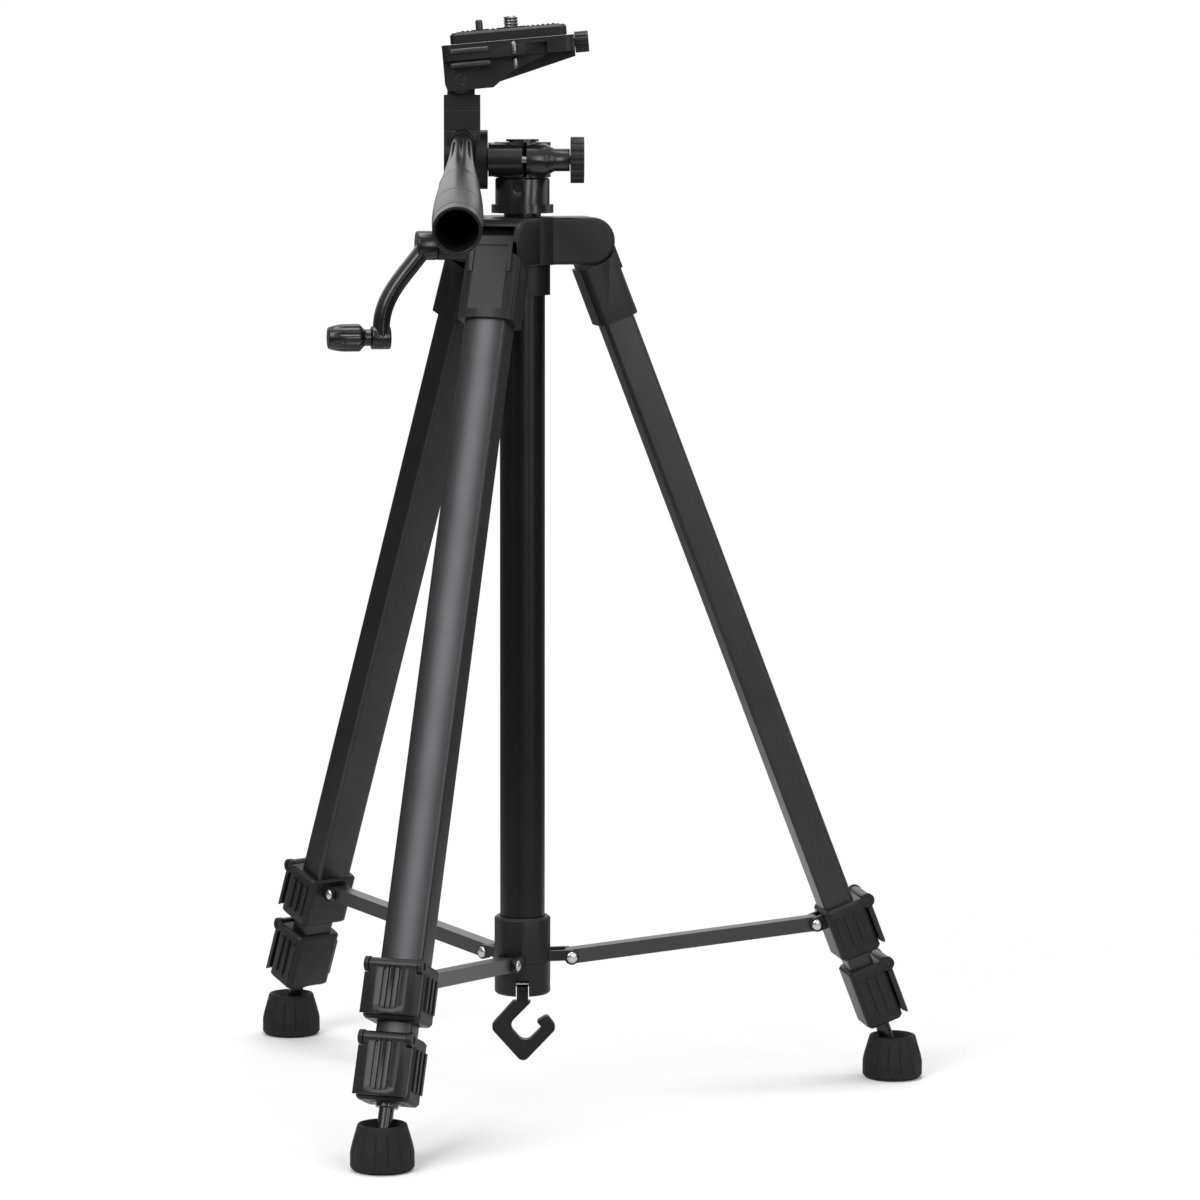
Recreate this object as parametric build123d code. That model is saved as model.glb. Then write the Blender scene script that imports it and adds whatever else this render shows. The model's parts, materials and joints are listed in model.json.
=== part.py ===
from build123d import *
from collections import namedtuple
from math import acos, atan2, cos, degrees, hypot, pi, radians, sin, tan
import os

os.makedirs("parts", exist_ok=True)

# Lightweight folding tripod with a three-way pan head and a geared centre column.
# Millimetres and degrees. +Z is up, the floor is z = 0 and the column axis is x = y = 0.
# The handle points to the front, which is -Y.

# Clearances
SEAT_GAP = 0.05
PIN_GAP = 0.15
SLIDE_GAP = 0.4
MOVE_GAP = 0.3
FACE_GAP = 0.2

# Legs: each leg is drawn upright about its top pivot, +X outward, then tilted and turned into place
LEG_NAMES = ("front", "right", "left")
LEG_ANGLES = (-110, 10, 130)
LEG_TILT = 21
LEG_LENGTH = 395.8
LEG_PIVOT_RADIUS = 29
CROWN_RATIO = 0.1
TUBE_WALL = 1.0
NEST_GAP = 0.5
UPPER_WIDTH, UPPER_DEPTH = 19.0, 15.0
TUBE_CORNER = 1.8
LOWER_TUBE_TOP = 30

# Leg sockets under the crown
SOCKET_SIDE_WALL, SOCKET_FACE_WALL = 3.0, 2.0
SOCKET_END = 37
SOCKET_CORNER = 3
SOCKET_PANEL = 0.7
PANEL_MARGIN, PANEL_SIDE = 4, 2
KNUCKLE_RADIUS = 10.4
CHEEK = 2.5
TONGUE_RADIUS = 6.5
TONGUE_END = 16
TONGUE_INSET = 1.5
TONGUE_SLOPE = 2
TRUNNION_RADIUS = 3.0
TRUNNION_DEPTH = 1.5

# Clamp collars and their flip levers
NECK_LENGTH = 16.3
LOWER_COLLAR_LENGTH = 27.7
COLLAR_SPACE = 6.3
UPPER_COLLAR_LENGTH = 24.5
UPPER_SEAT_DEPTH = 15.5
LOWER_SEAT_DEPTH = 14.5
UPPER_SIDE_WALL, LOWER_SIDE_WALL = 3.5, 4.0
COLLAR_WALL_IN = 1.2
COLLAR_WALL_OUT = 2.0
HINGE_WALL = 0.9
COLLAR_CORNER = 3
COLLAR_CHAMFER = 1.2
RIB_HEIGHT = 0.8
RIB_WIDTH = 2.0
RIB_PITCH = 4.5
RIB_MARGIN = 5
RIB_SHIFT = -1
EAR_THICK = 2.0
EAR_RADIUS = 3.2
HINGE_DROP = 2.0
BARREL_RADIUS = 2.8
LEVER_TRUNNION = 1.5
LEVER_THICK = 3.2
LEVER_LIP = 0.6
LEVER_SHORT = 3.0
LEVER_RAMP = 2
LEVER_FACE_RADIUS = 40
LADDER_BARS = 3
LADDER_PITCH = 2.4
LADDER_BAR = 1.2
LADDER_DEPTH = 0.9
LADDER_MARGIN = 0.8
LADDER_CORNER = 2.0

# Feet
BALL_RADIUS = 6.0
BALL_HEIGHT = 11.5
STUD_NECK_RADIUS = 3.2
STUD_LIP = 0.3
STUD_FLANGE = 1.6
STUD_PLUG = 15
FOOT_RADIUS = 13.5
FOOT_TOP_RADIUS = 10.6
FOOT_RIM_RADIUS = 9.2
FOOT_HEIGHT = 19.5
FOOT_FLUTES = 24
FLUTE_RADIUS = 0.7
FLUTE_SHARE = 0.7
MOUTH_ANGLE = 27
FOOT_EDGE, FOOT_UNDERCUT = 1.5, 1.2
FOOT_RIM = 1.0
FOOT_BULGE = 0.5

# Spreader: hub, brace arms and rivets
HUB_WALL = 2.5
HUB_HEIGHT = 20.3
HUB_CHAMFER = 1.0
HUB_REACH = 9.0
HUB_PIVOT_RISE = 1.3
LUG_REACH = 3.8
LUG_FROM_TOP = 5.2
LUG_RADIUS = 3.3
LUG_THICK = 2.0
BRACE_WIDTH, BRACE_HEIGHT = 7.0, 6.5
BRACE_WALL = 1.0
RIVET_RADIUS = 1.5
RIVET_HEAD_RADIUS = 2.6
RIVET_HEAD = 1.0

# Fixed centre tube, its end cap and the weight hook
TUBE_RADIUS = 10.0
CENTRE_WALL = 1.4
CAP_WALL = 2.5
CAP_BOTTOM, CAP_TOP = 44.5, 59.0
CAP_FLOOR = 7.5
CAP_CHAMFER = 0.8
HOOK_PIN_RADIUS = 1.4
HOOK_PIN_RISE = 4.0
HOOK_EYE_RADIUS = 3.2
HOOK_SHANK = 5.2
HOOK_THICK = 5.0
HOOK_SNAP = 0.2
# Corners of the hook and their rounding: across from the pin and down from it
HOOK_OUTLINE = (
    (-4.2, 7.8), (-14.6, 19.5), (0.2, 36.0), (15.6, 19.8), (11.0, 14.0),
    (6.2, 17.0), (8.6, 19.6), (1.2, 27.1), (-6.4, 18.6), (4.2, 7.8))
HOOK_ROUNDS = (0.4, 3, 3, 3, 1.5, 0.8, 0.8, 4, 4, 0.4)

# Crown
CORE_RADIUS = 17
SLEEVE_WALL = 2.3
SLEEVE_LENGTH = 13.5
TUBE_IN_CROWN = 11
ROOF = 3.0
POCKET_RADIUS = 20.5
RECESS_HIGH, RECESS_LOW = -14, -60
LOBE_FILLET = 1.5

# Geared column and crank
COLUMN_WALL = 1.8
COLUMN_BELOW = 260
COLUMN_FOOT = 10
RACK_ANGLE = 100
RACK_OFFSET = 7.4
RACK_WIDTH = 8
GEAR_MODULE = 0.8
PINION_TEETH = 14
PRESSURE_ANGLE = 20
RACK_ADDENDUM = 0.65
PINION_ADDENDUM = 0.8
DEDENDUM = 1.05
BACKLASH = 0.14
RACK_TEETH = 84
RACK_TEETH_ABOVE = 3
RACK_LAND = 2
PINION_WIDTH = 6
SHAFT_RADIUS = 2.5
SHAFT_INNER = 9
CRANK_DROP = 2.2
BOSS_RADIUS = 6.5
BOSS_REACH = 37
CRANK_HUB_RADIUS = 6.5
CRANK_HUB = 9
CRANK_THROW = 40.5
CRANK_OUT = 20
ARM_THICK = 7.5
ARM_WIDTH = 10.5
ARM_END = 1.0
ARM_BEND = 0.36
SHAFT_END_WALL = 1.0
KNOB_RADIUS = 6.2
KNOB_LENGTH = 19
KNOB_STUB_RADIUS = 2.2
KNOB_FLUTES = 10
KNOB_FLUTE_RADIUS = 0.6
KNOB_NECK_RADIUS = 3.7
KNOB_NECK, KNOB_SHOULDER = 2.5, 4.5
KNOB_NOSE = 2.0
KNOB_END_WALL = 2.5
STUB_SHORT = 2.0

# Pan head
BASE_GAP = 1.8
FLANGE_RADIUS, FLANGE = 13.7, 3.8
BASE_RADIUS, BASE_HEIGHT = 12.0, 11.6
COLUMN_IN_BASE = 9.5
SET_SCREW_RADIUS = 2.2
SET_SCREW_DEPTH = 2
SET_SCREW_RISE = 7.5
BASE_CHAMFER = 0.6
SPINDLE_RADIUS = 6.0
CLAMP_RADIUS, CLAMP_HEIGHT = 12.4, 15.4
SPINDLE_CAP_RADIUS, SPINDLE_CAP = 7.2, 1.0
BARREL_LEFT, BARREL_RIGHT = -15.0, 10.0
CLAMP_BARREL_RADIUS = 7.2
CLAMP_BOLT_Y = -9.2
CLAMP_NECK_RADIUS, CLAMP_NECK_END = 5.0, 20.8
CLAMP_SPLIT = 2.0
CLAMP_SPLIT_X = 0.8
AXLE_BARREL_RADIUS = 7.5
BOLT_END_WALL = 3
PAN_BOLT_RADIUS = 2.0
PAN_KNOB_RADIUS, PAN_KNOB = 10.2, 6.0
PAN_KNOB_FLUTES, PAN_FLUTE_RADIUS, PAN_FLUTE_OUT = 16, 1.2, 0.6
TILT_AXLE_RADIUS = 5.0
TILT_DISC_RADIUS = 13.0
BRACKET_LEFT, BRACKET_RIGHT = -34.5, -18.6
BRACKET_HALF_DEPTH = 9.4
BRACKET_ROUND = 11
BRACKET_WALL = 2
SEAM_DROPS = (6, 15)
SEAM_HEIGHT, SEAM_DEPTH = 0.8, 0.4
FLIP_X = -27
FLIP_RISE = 35
FLIP_RADIUS = 6
FLIP_PIN_RADIUS = 2.5
FLIP_KNUCKLE = 8
FLIP_REACH = 15

# Pan handle
HANDLE_X = -26.5
HANDLE_BACK = -6.5
HANDLE_RISE = 8.3
HANDLE_DIP = 11
ROD_RADIUS = 3.0
ROD_LENGTH = 76
HANDLE_BOSS_RADIUS, HANDLE_BOSS = 5.5, 8.0
GRIP_START, GRIP_LENGTH = 10, 166
GRIP_NECK_RADIUS, GRIP_RADIUS, GRIP_END_RADIUS = 4.8, 10.6, 10.2
GRIP_RECESS = 12
GRIP_WALL = 1.4
GRIP_SWELL = ((0.3, 0.62), (0.62, 0.88))
GRIP_CREST = 20

# Platform with its quick plate, drawn level, then tipped about the flip pin
PLATFORM_TIP = 5
DECK_LEFT, DECK_RIGHT = -34.0, 24.0
DECK_HALF_DEPTH = 20
DECK_LOW, DECK_HIGH = 8.5, 15.5
SKIRT_THICK = 5
SKIRT_RIGHT = -13
SKIRT_LOW = -4.5
SKIRT_CUT = 3
SKIRT_STEP, SKIRT_STEP_Z = 9, 2
SKIRT_SHORT = 8
WEB_HALF_DEPTH = 7
WEB_GAP = 1.5
WEB_LOW, WEB_THIN = -4, 2.5
DECK_CORNER = 4
DECK_RIBS = (5.5, 11.5)
DECK_RIB, DECK_RIB_OUT, DECK_RIB_IN, DECK_RIB_START = 2, 0.8, 6, 3
DECK_POCKET = (5, 15)
DECK_POCKET_DEPTH, DECK_POCKET_ROOF = 4, 2
KNUCKLE_SHORT = 1
PLATE_INSET_LEFT, PLATE_INSET_RIGHT, PLATE_INSET_SIDE = 4, 3, 1
PLATE_CORNER, PLATE_CHAMFER = 3, 1.0
PLATE_THICK = 4.8
SCREW_X = -3
SCREW_RADIUS = 3.175
SCREW_NECK_RADIUS = 2.6
SCREW_PROUD = 5.4
SCREW_HEAD_RADIUS, SCREW_HEAD = 6.0, 1.5
SCREW_CHAMFER = 0.6
LOCATOR_X = -17
LOCATOR_RADIUS = 1.6
LOCATOR_PROUD = 5.0
LOCATOR_CHAMFER = 0.5
LOCATOR_TRAVEL = 4.5
LOCK_KNOB_RADIUS, LOCK_KNOB = 4.7, 6.0
LOCK_STUD_RADIUS, LOCK_STUD = 2.0, 10.0
LOCK_FLUTES, LOCK_FLUTE_RADIUS, LOCK_FLUTE_OUT = 12, 0.7, 0.3

# Sizes that fit to another piece
NEST_STEP = 2 * (TUBE_WALL + NEST_GAP)
MIDDLE_WIDTH, MIDDLE_DEPTH = UPPER_WIDTH - NEST_STEP, UPPER_DEPTH - NEST_STEP
LOWER_WIDTH, LOWER_DEPTH = MIDDLE_WIDTH - NEST_STEP, MIDDLE_DEPTH - NEST_STEP
STUD_FLANGE_RADIUS = LOWER_DEPTH / 2 + STUD_LIP
SOCKET_WIDTH = UPPER_WIDTH + 2 * SOCKET_SIDE_WALL
SOCKET_DEPTH = UPPER_DEPTH + 2 * SOCKET_FACE_WALL
UPPER_COLLAR_WIDTH = UPPER_WIDTH + 2 * UPPER_SIDE_WALL
LOWER_COLLAR_WIDTH = MIDDLE_WIDTH + 2 * LOWER_SIDE_WALL
LUG_OFFSET = UPPER_DEPTH / 2 + COLLAR_WALL_IN + LUG_REACH
HUB_RADIUS = TUBE_RADIUS + HUB_WALL
HUB_PIVOT_RADIUS = HUB_RADIUS + HUB_REACH
CAP_RADIUS = TUBE_RADIUS + CAP_WALL
SLEEVE_RADIUS = TUBE_RADIUS + SLEEVE_WALL
COLUMN_RADIUS = TUBE_RADIUS - CENTRE_WALL - SLIDE_GAP
BRACKET_HEIGHT = FLIP_RISE - FLIP_RADIUS - 2 * MOVE_GAP
PLATE_LEFT, PLATE_RIGHT = DECK_LEFT + PLATE_INSET_LEFT, DECK_RIGHT - PLATE_INSET_RIGHT
PLATE_HALF_DEPTH = DECK_HALF_DEPTH - PLATE_INSET_SIDE

# Stations along a leg, measured down from its pivot
LOWER_COLLAR_BOTTOM = LEG_LENGTH - NECK_LENGTH
LOWER_COLLAR_TOP = LOWER_COLLAR_BOTTOM - LOWER_COLLAR_LENGTH
UPPER_COLLAR_BOTTOM = LOWER_COLLAR_TOP - COLLAR_SPACE
UPPER_COLLAR_TOP = UPPER_COLLAR_BOTTOM - UPPER_COLLAR_LENGTH
UPPER_TUBE_END = UPPER_COLLAR_TOP + UPPER_SEAT_DEPTH
MIDDLE_TUBE_END = LOWER_COLLAR_TOP + LOWER_SEAT_DEPTH
LUG_STATION = UPPER_COLLAR_TOP + LUG_FROM_TOP

# Heights and the brace between the hub pivot and the leg lug, in the plane of one leg
LEG_PIVOT_Z = BALL_HEIGHT + LEG_LENGTH * cos(radians(LEG_TILT))
FOOT_CIRCLE = LEG_PIVOT_RADIUS + LEG_LENGTH * sin(radians(LEG_TILT))
HUB_BOTTOM = CAP_TOP + FACE_GAP
HUB_PIVOT_Z = HUB_BOTTOM + HUB_PIVOT_RISE
LUG_R = LEG_PIVOT_RADIUS + LUG_STATION * sin(radians(LEG_TILT)) - LUG_OFFSET * cos(radians(LEG_TILT))
LUG_Z = LEG_PIVOT_Z - LUG_STATION * cos(radians(LEG_TILT)) - LUG_OFFSET * sin(radians(LEG_TILT))
BRACE_LENGTH = hypot(LUG_R - HUB_PIVOT_RADIUS, LUG_Z - HUB_PIVOT_Z)
BRACE_RISE = degrees(atan2(LUG_Z - HUB_PIVOT_Z, LUG_R - HUB_PIVOT_RADIUS))
CROWN_TOP = LEG_PIVOT_Z + KNUCKLE_RADIUS
CROWN_BOTTOM = LEG_PIVOT_Z - KNUCKLE_RADIUS
SLEEVE_BOTTOM = CROWN_BOTTOM - SLEEVE_LENGTH
CENTRE_TUBE_TOP = SLEEVE_BOTTOM + TUBE_IN_CROWN
CRANK_Z = LEG_PIVOT_Z - CRANK_DROP
PINION_RADIUS = GEAR_MODULE * PINION_TEETH / 2
BASE_Z = CROWN_TOP + BASE_GAP
BASE_TOP = BASE_Z + FLANGE + BASE_HEIGHT
CLAMP_BOTTOM = BASE_TOP + MOVE_GAP
CLAMP_TOP = CLAMP_BOTTOM + CLAMP_HEIGHT
TILT_Z = (CLAMP_BOTTOM + CLAMP_TOP) / 2
FLIP_Z = TILT_Z + FLIP_RISE

Lock = namedtuple("Lock", "top bottom width back face seat held_w held_d bore_w bore_d hinge_x hinge_s")
UPPER_LOCK = Lock(
    UPPER_COLLAR_TOP, UPPER_COLLAR_BOTTOM, UPPER_COLLAR_WIDTH,
    -UPPER_DEPTH / 2 - COLLAR_WALL_IN, UPPER_DEPTH / 2 + COLLAR_WALL_OUT + HINGE_WALL, UPPER_TUBE_END,
    UPPER_WIDTH, UPPER_DEPTH, MIDDLE_WIDTH, MIDDLE_DEPTH,
    UPPER_DEPTH / 2 + HINGE_WALL + EAR_RADIUS, UPPER_COLLAR_TOP + HINGE_DROP)
LOWER_LOCK = Lock(
    LOWER_COLLAR_TOP, LOWER_COLLAR_BOTTOM, LOWER_COLLAR_WIDTH,
    -MIDDLE_DEPTH / 2 - COLLAR_WALL_IN - HINGE_WALL,
    MIDDLE_DEPTH / 2 + COLLAR_WALL_OUT + HINGE_WALL, MIDDLE_TUBE_END,
    MIDDLE_WIDTH, MIDDLE_DEPTH, LOWER_WIDTH, LOWER_DEPTH,
    MIDDLE_DEPTH / 2 + HINGE_WALL + EAR_RADIUS, LOWER_COLLAR_TOP + HINGE_DROP)


def along_leg(profile, top, bottom):
    return Pos(0, 0, -bottom) * extrude(profile, bottom - top)


def across(sketch, near, far):
    return extrude(Plane.XZ.offset(-far) * sketch, far - near)


def outline(*points):
    return make_face(Polyline(*points, close=True))


def rod_x(radius, near, far, y, z):
    return Pos((near + far) / 2, y, z) * Rotation(0, 90, 0) * Cylinder(radius, far - near)


def rod_y(radius, near, far, x, z):
    return Pos(x, (near + far) / 2, z) * Rotation(90, 0, 0) * Cylinder(radius, far - near)


def rod_z(radius, near, far, x=0, y=0):
    return Pos(x, y, (near + far) / 2) * Cylinder(radius, far - near)


def block(x_range, y_range, z_range):
    spans = [far - near for near, far in (x_range, y_range, z_range)]
    middle = [(near + far) / 2 for near, far in (x_range, y_range, z_range)]
    return Pos(*middle) * Box(*spans)


def flutes(count, radius, ring, length, middle_z=0):
    cutters = [
        Rotation(0, 0, 360 * step / count) * Pos(ring, 0, middle_z) * Cylinder(radius, length)
        for step in range(count)]
    return Part() + cutters


def leg_profile(width, depth, corner=TUBE_CORNER):
    half = width / 2
    edge = depth / 2 - CROWN_RATIO * width
    sides = Polyline((edge, half), (-depth / 2, half), (-depth / 2, -half), (edge, -half))
    crowned = ThreePointArc((edge, -half), (depth / 2, 0), (edge, half))
    face = make_face(sides.edges() + crowned.edges())
    return fillet(face.vertices(), corner)


def tube_profile(width, depth):
    inner = leg_profile(width - 2 * TUBE_WALL, depth - 2 * TUBE_WALL, TUBE_CORNER - TUBE_WALL / 2)
    return leg_profile(width, depth) - inner


def leg_frame(angle):
    return Rotation(0, 0, angle) * Pos(LEG_PIVOT_RADIUS, 0, LEG_PIVOT_Z) * Rotation(0, -LEG_TILT, 0)


def socket():
    half_tongue = SOCKET_WIDTH / 2 - CHEEK - MOVE_GAP
    swing = KNUCKLE_RADIUS + SLIDE_GAP
    shell = along_leg(leg_profile(SOCKET_WIDTH, SOCKET_DEPTH, SOCKET_CORNER), 0, SOCKET_END)
    shell -= rod_y(swing, -SOCKET_WIDTH, SOCKET_WIDTH, 0, 0)
    shell -= block((-SOCKET_DEPTH, 0), (-SOCKET_WIDTH, SOCKET_WIDTH), (-swing, 1))
    back = -SOCKET_DEPTH / 2 + TONGUE_INSET
    face = SOCKET_DEPTH / 2 - MOVE_GAP
    cheek_side = outline(
        (-TONGUE_RADIUS, 0), (back, -TONGUE_RADIUS - TONGUE_SLOPE), (back, -TONGUE_END),
        (face, -TONGUE_END), (face, 0), (TONGUE_RADIUS - 1, TONGUE_RADIUS / 2))
    tongue = across(cheek_side + Circle(TONGUE_RADIUS), -half_tongue, half_tongue)
    reach = half_tongue + TRUNNION_DEPTH
    piece = shell + tongue + rod_y(TRUNNION_RADIUS, -reach, reach, 0, 0)
    seat = leg_profile(UPPER_WIDTH + 2 * SEAT_GAP, UPPER_DEPTH + 2 * SEAT_GAP)
    piece -= along_leg(seat, TONGUE_END, SOCKET_END + 1)
    panel_half = half_tongue - PANEL_SIDE
    span = (PANEL_MARGIN - SOCKET_END, -PANEL_MARGIN)
    panel = block((face - SOCKET_PANEL, SOCKET_DEPTH), (-panel_half, panel_half), span)
    return piece - panel


def upper_tube():
    return along_leg(tube_profile(UPPER_WIDTH, UPPER_DEPTH), TONGUE_END + SEAT_GAP, UPPER_TUBE_END)


def middle_tube():
    top = TONGUE_END + SLIDE_GAP
    return along_leg(tube_profile(MIDDLE_WIDTH, MIDDLE_DEPTH), top, MIDDLE_TUBE_END)


def lower_tube():
    end = LOWER_COLLAR_BOTTOM + MOVE_GAP
    return along_leg(tube_profile(LOWER_WIDTH, LOWER_DEPTH), LOWER_TUBE_TOP, end)


def lever_half(lock):
    return lock.width / 2 - EAR_THICK - SLIDE_GAP


def collar(lock):
    middle = (lock.back + lock.face) / 2
    section = Pos(middle, 0) * RectangleRounded(lock.face - lock.back, lock.width, COLLAR_CORNER)
    body = along_leg(section, lock.top, lock.bottom)
    ends = body.faces().filter_by(Axis.Z)
    body = chamfer(ends.edges(), COLLAR_CHAMFER)
    depth = lock.hinge_x - lock.face + COLLAR_CORNER
    root = Pos(lock.hinge_x - depth / 2, -lock.hinge_s) * Rectangle(depth, 2 * HINGE_DROP)
    ear = Pos(lock.hinge_x, -lock.hinge_s) * Circle(EAR_RADIUS) + root
    half = lock.width / 2
    body += across(ear, -half, EAR_THICK - half) + across(ear, half - EAR_THICK, half)
    rib_top, rib_bottom = lock.top + RIB_MARGIN, lock.bottom - RIB_MARGIN
    for step in (-1, 0, 1):
        place = middle + RIB_SHIFT + step * RIB_PITCH
        body += block(
            (place - RIB_WIDTH / 2, place + RIB_WIDTH / 2),
            (-half - RIB_HEIGHT, half + RIB_HEIGHT), (-rib_bottom, -rib_top))
    seat = leg_profile(lock.held_w + 2 * SEAT_GAP, lock.held_d + 2 * SEAT_GAP)
    bore = leg_profile(lock.bore_w + 2 * SLIDE_GAP, lock.bore_d + 2 * SLIDE_GAP)
    body -= along_leg(seat, lock.top - 1, lock.seat) + along_leg(bore, lock.seat - 1, lock.bottom + 1)
    clear = lever_half(lock) + MOVE_GAP
    body -= rod_y(BARREL_RADIUS + MOVE_GAP, -clear, clear, lock.hinge_x, -lock.hinge_s)
    return body - rod_y(LEVER_TRUNNION + PIN_GAP, -lock.width, lock.width, lock.hinge_x, -lock.hinge_s)


def lug_pair(pivot_x, pivot_z, root):
    inner = BRACE_WIDTH / 2 + MOVE_GAP
    outer = inner + LUG_THICK
    cheek = Pos(pivot_x, pivot_z) * Circle(LUG_RADIUS) + root
    pair = across(cheek, -outer, -inner) + across(cheek, inner, outer)
    return pair - rod_y(RIVET_RADIUS + SEAT_GAP, -outer, outer, pivot_x, pivot_z)


def upper_collar():
    height = 2 * LUG_RADIUS
    reach = LUG_OFFSET + UPPER_LOCK.back + COLLAR_WALL_IN / 2
    root = Pos(-LUG_OFFSET + reach / 2, -LUG_STATION) * Rectangle(reach, height)
    return collar(UPPER_LOCK) + lug_pair(-LUG_OFFSET, -LUG_STATION, root)


def lever(lock):
    half, wide = lever_half(lock), lock.width / 2
    inner = lock.face + MOVE_GAP
    outer = inner + LEVER_THICK
    top = outer + LEVER_LIP
    end = lock.bottom - LEVER_SHORT
    tip = end + LEVER_SHORT / 2
    side = outline(
        (inner, -lock.hinge_s), (inner, -end), (inner + LEVER_THICK / 2, -tip), (top, -tip),
        (top, -end), (outer, LEVER_RAMP - end), (outer, -lock.hinge_s))
    crown_face = along_leg(Pos(top - LEVER_FACE_RADIUS, 0) * Circle(LEVER_FACE_RADIUS), lock.top, lock.bottom)
    piece = across(side, -wide, wide) & crown_face
    shoulder = lock.hinge_s + EAR_RADIUS + MOVE_GAP
    for near, far in ((-wide, -half), (half, wide)):
        piece -= block((0, top), (near, far), (-shoulder, -lock.top))
    piece += across(Pos(lock.hinge_x, -lock.hinge_s) * Circle(BARREL_RADIUS), -half, half)
    ladder_half = LADDER_PITCH * LADDER_BARS / 2 + LADDER_BAR / 2
    span = (-end + LADDER_MARGIN, -lock.hinge_s - LADDER_MARGIN)
    slot = Pos(0, sum(span) / 2) * RectangleRounded(2 * ladder_half, span[1] - span[0], LADDER_CORNER)
    pocket = extrude(Plane.YZ.offset(outer - LADDER_DEPTH) * slot, LADDER_DEPTH + LEVER_LIP)
    for step in range(LADDER_BARS):
        place = (step - (LADDER_BARS - 1) / 2) * LADDER_PITCH
        pocket -= block((0, top), (place - LADDER_BAR / 2, place + LADDER_BAR / 2), span)
    reach = lock.width / 2 - SLIDE_GAP
    return piece - pocket + rod_y(LEVER_TRUNNION, -reach, reach, lock.hinge_x, -lock.hinge_s)


def rivet():
    reach = BRACE_WIDTH / 2 + MOVE_GAP + LUG_THICK
    piece = rod_y(RIVET_RADIUS, -reach, reach, 0, 0)
    for near, far in ((-reach - RIVET_HEAD, -reach), (reach, reach + RIVET_HEAD)):
        piece += rod_y(RIVET_HEAD_RADIUS, near, far, 0, 0)
    return piece


def ball_stud():
    seat = LOWER_COLLAR_BOTTOM + MOVE_GAP
    width = LOWER_WIDTH - 2 * TUBE_WALL - 2 * SEAT_GAP
    depth = LOWER_DEPTH - 2 * TUBE_WALL - 2 * SEAT_GAP
    plug = along_leg(leg_profile(width, depth, TUBE_CORNER - TUBE_WALL / 2), seat - STUD_PLUG, seat)
    flange = rod_z(STUD_FLANGE_RADIUS, -seat - STUD_FLANGE, -seat)
    neck = rod_z(STUD_NECK_RADIUS, -LEG_LENGTH, -seat)
    return plug + flange + neck + Pos(0, 0, -LEG_LENGTH) * Sphere(BALL_RADIUS)


def foot():
    socket_radius = BALL_RADIUS + MOVE_GAP
    mouth_radius = socket_radius * cos(radians(MOUTH_ANGLE))
    mouth_z = BALL_HEIGHT + socket_radius * sin(radians(MOUTH_ANGLE))
    shoulder = FOOT_HEIGHT - FOOT_RIM
    side = Spline(
        (FOOT_RADIUS, FOOT_EDGE), (FOOT_RADIUS - FOOT_BULGE, shoulder / 2), (FOOT_TOP_RADIUS, shoulder),
        tangents=((0, 1), (-0.6, 1)))
    rest = Polyline(
        (FOOT_TOP_RADIUS, shoulder), (FOOT_TOP_RADIUS - FOOT_RIM, FOOT_HEIGHT), (0, FOOT_HEIGHT),
        (0, 0), (FOOT_RADIUS - FOOT_UNDERCUT, 0), (FOOT_RADIUS, FOOT_EDGE))
    section = Plane.XZ * make_face(side.edges() + rest.edges())
    body = revolve(section, Axis.Z)
    body -= Pos(0, 0, BALL_HEIGHT) * Sphere(socket_radius)
    cone_height = FOOT_HEIGHT - mouth_z
    cone = Cone(mouth_radius, FOOT_RIM_RADIUS, cone_height)
    body -= Pos(0, 0, mouth_z + cone_height / 2) * cone
    return body - flutes(FOOT_FLUTES, FLUTE_RADIUS, FOOT_RADIUS, FOOT_HEIGHT * FLUTE_SHARE, FOOT_HEIGHT / 2)


def brace():
    bar = Pos(BRACE_LENGTH / 2, 0) * SlotCenterToCenter(BRACE_LENGTH, BRACE_HEIGHT)
    piece = across(bar, -BRACE_WIDTH / 2, BRACE_WIDTH / 2)
    inner = BRACE_WIDTH / 2 - BRACE_WALL
    piece -= block(
        (-BRACE_HEIGHT, BRACE_LENGTH + BRACE_HEIGHT), (-inner, inner),
        (-BRACE_HEIGHT, BRACE_HEIGHT / 2 - BRACE_WALL))
    for end in (0, BRACE_LENGTH):
        piece -= rod_y(RIVET_RADIUS + PIN_GAP, -BRACE_WIDTH, BRACE_WIDTH, end, 0)
    return piece


def spreader_hub():
    hub = rod_z(HUB_RADIUS, HUB_BOTTOM, HUB_BOTTOM + HUB_HEIGHT)
    hub = chamfer(hub.edges().group_by(Axis.Z)[-1], HUB_CHAMFER)
    reach = HUB_PIVOT_RADIUS - TUBE_RADIUS
    foot_z = HUB_PIVOT_Z - HUB_PIVOT_RISE
    root_height = HUB_PIVOT_RISE + LUG_RADIUS
    root = Pos(HUB_PIVOT_RADIUS - reach / 2, foot_z + root_height / 2) * Rectangle(reach, root_height)
    lugs = lug_pair(HUB_PIVOT_RADIUS, HUB_PIVOT_Z, root)
    for angle in LEG_ANGLES:
        hub += Rotation(0, 0, angle) * lugs
    return hub - rod_z(TUBE_RADIUS + MOVE_GAP, 0, CROWN_TOP)


def hub_rivets():
    place = Pos(HUB_PIVOT_RADIUS, 0, HUB_PIVOT_Z)
    return Compound(children=[Rotation(0, 0, angle) * place * rivet() for angle in LEG_ANGLES])


def centre_tube():
    bottom = CAP_BOTTOM + CAP_FLOOR
    bore = TUBE_RADIUS - CENTRE_WALL
    return rod_z(TUBE_RADIUS, bottom, CENTRE_TUBE_TOP) - rod_z(bore, bottom, CENTRE_TUBE_TOP)


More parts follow.
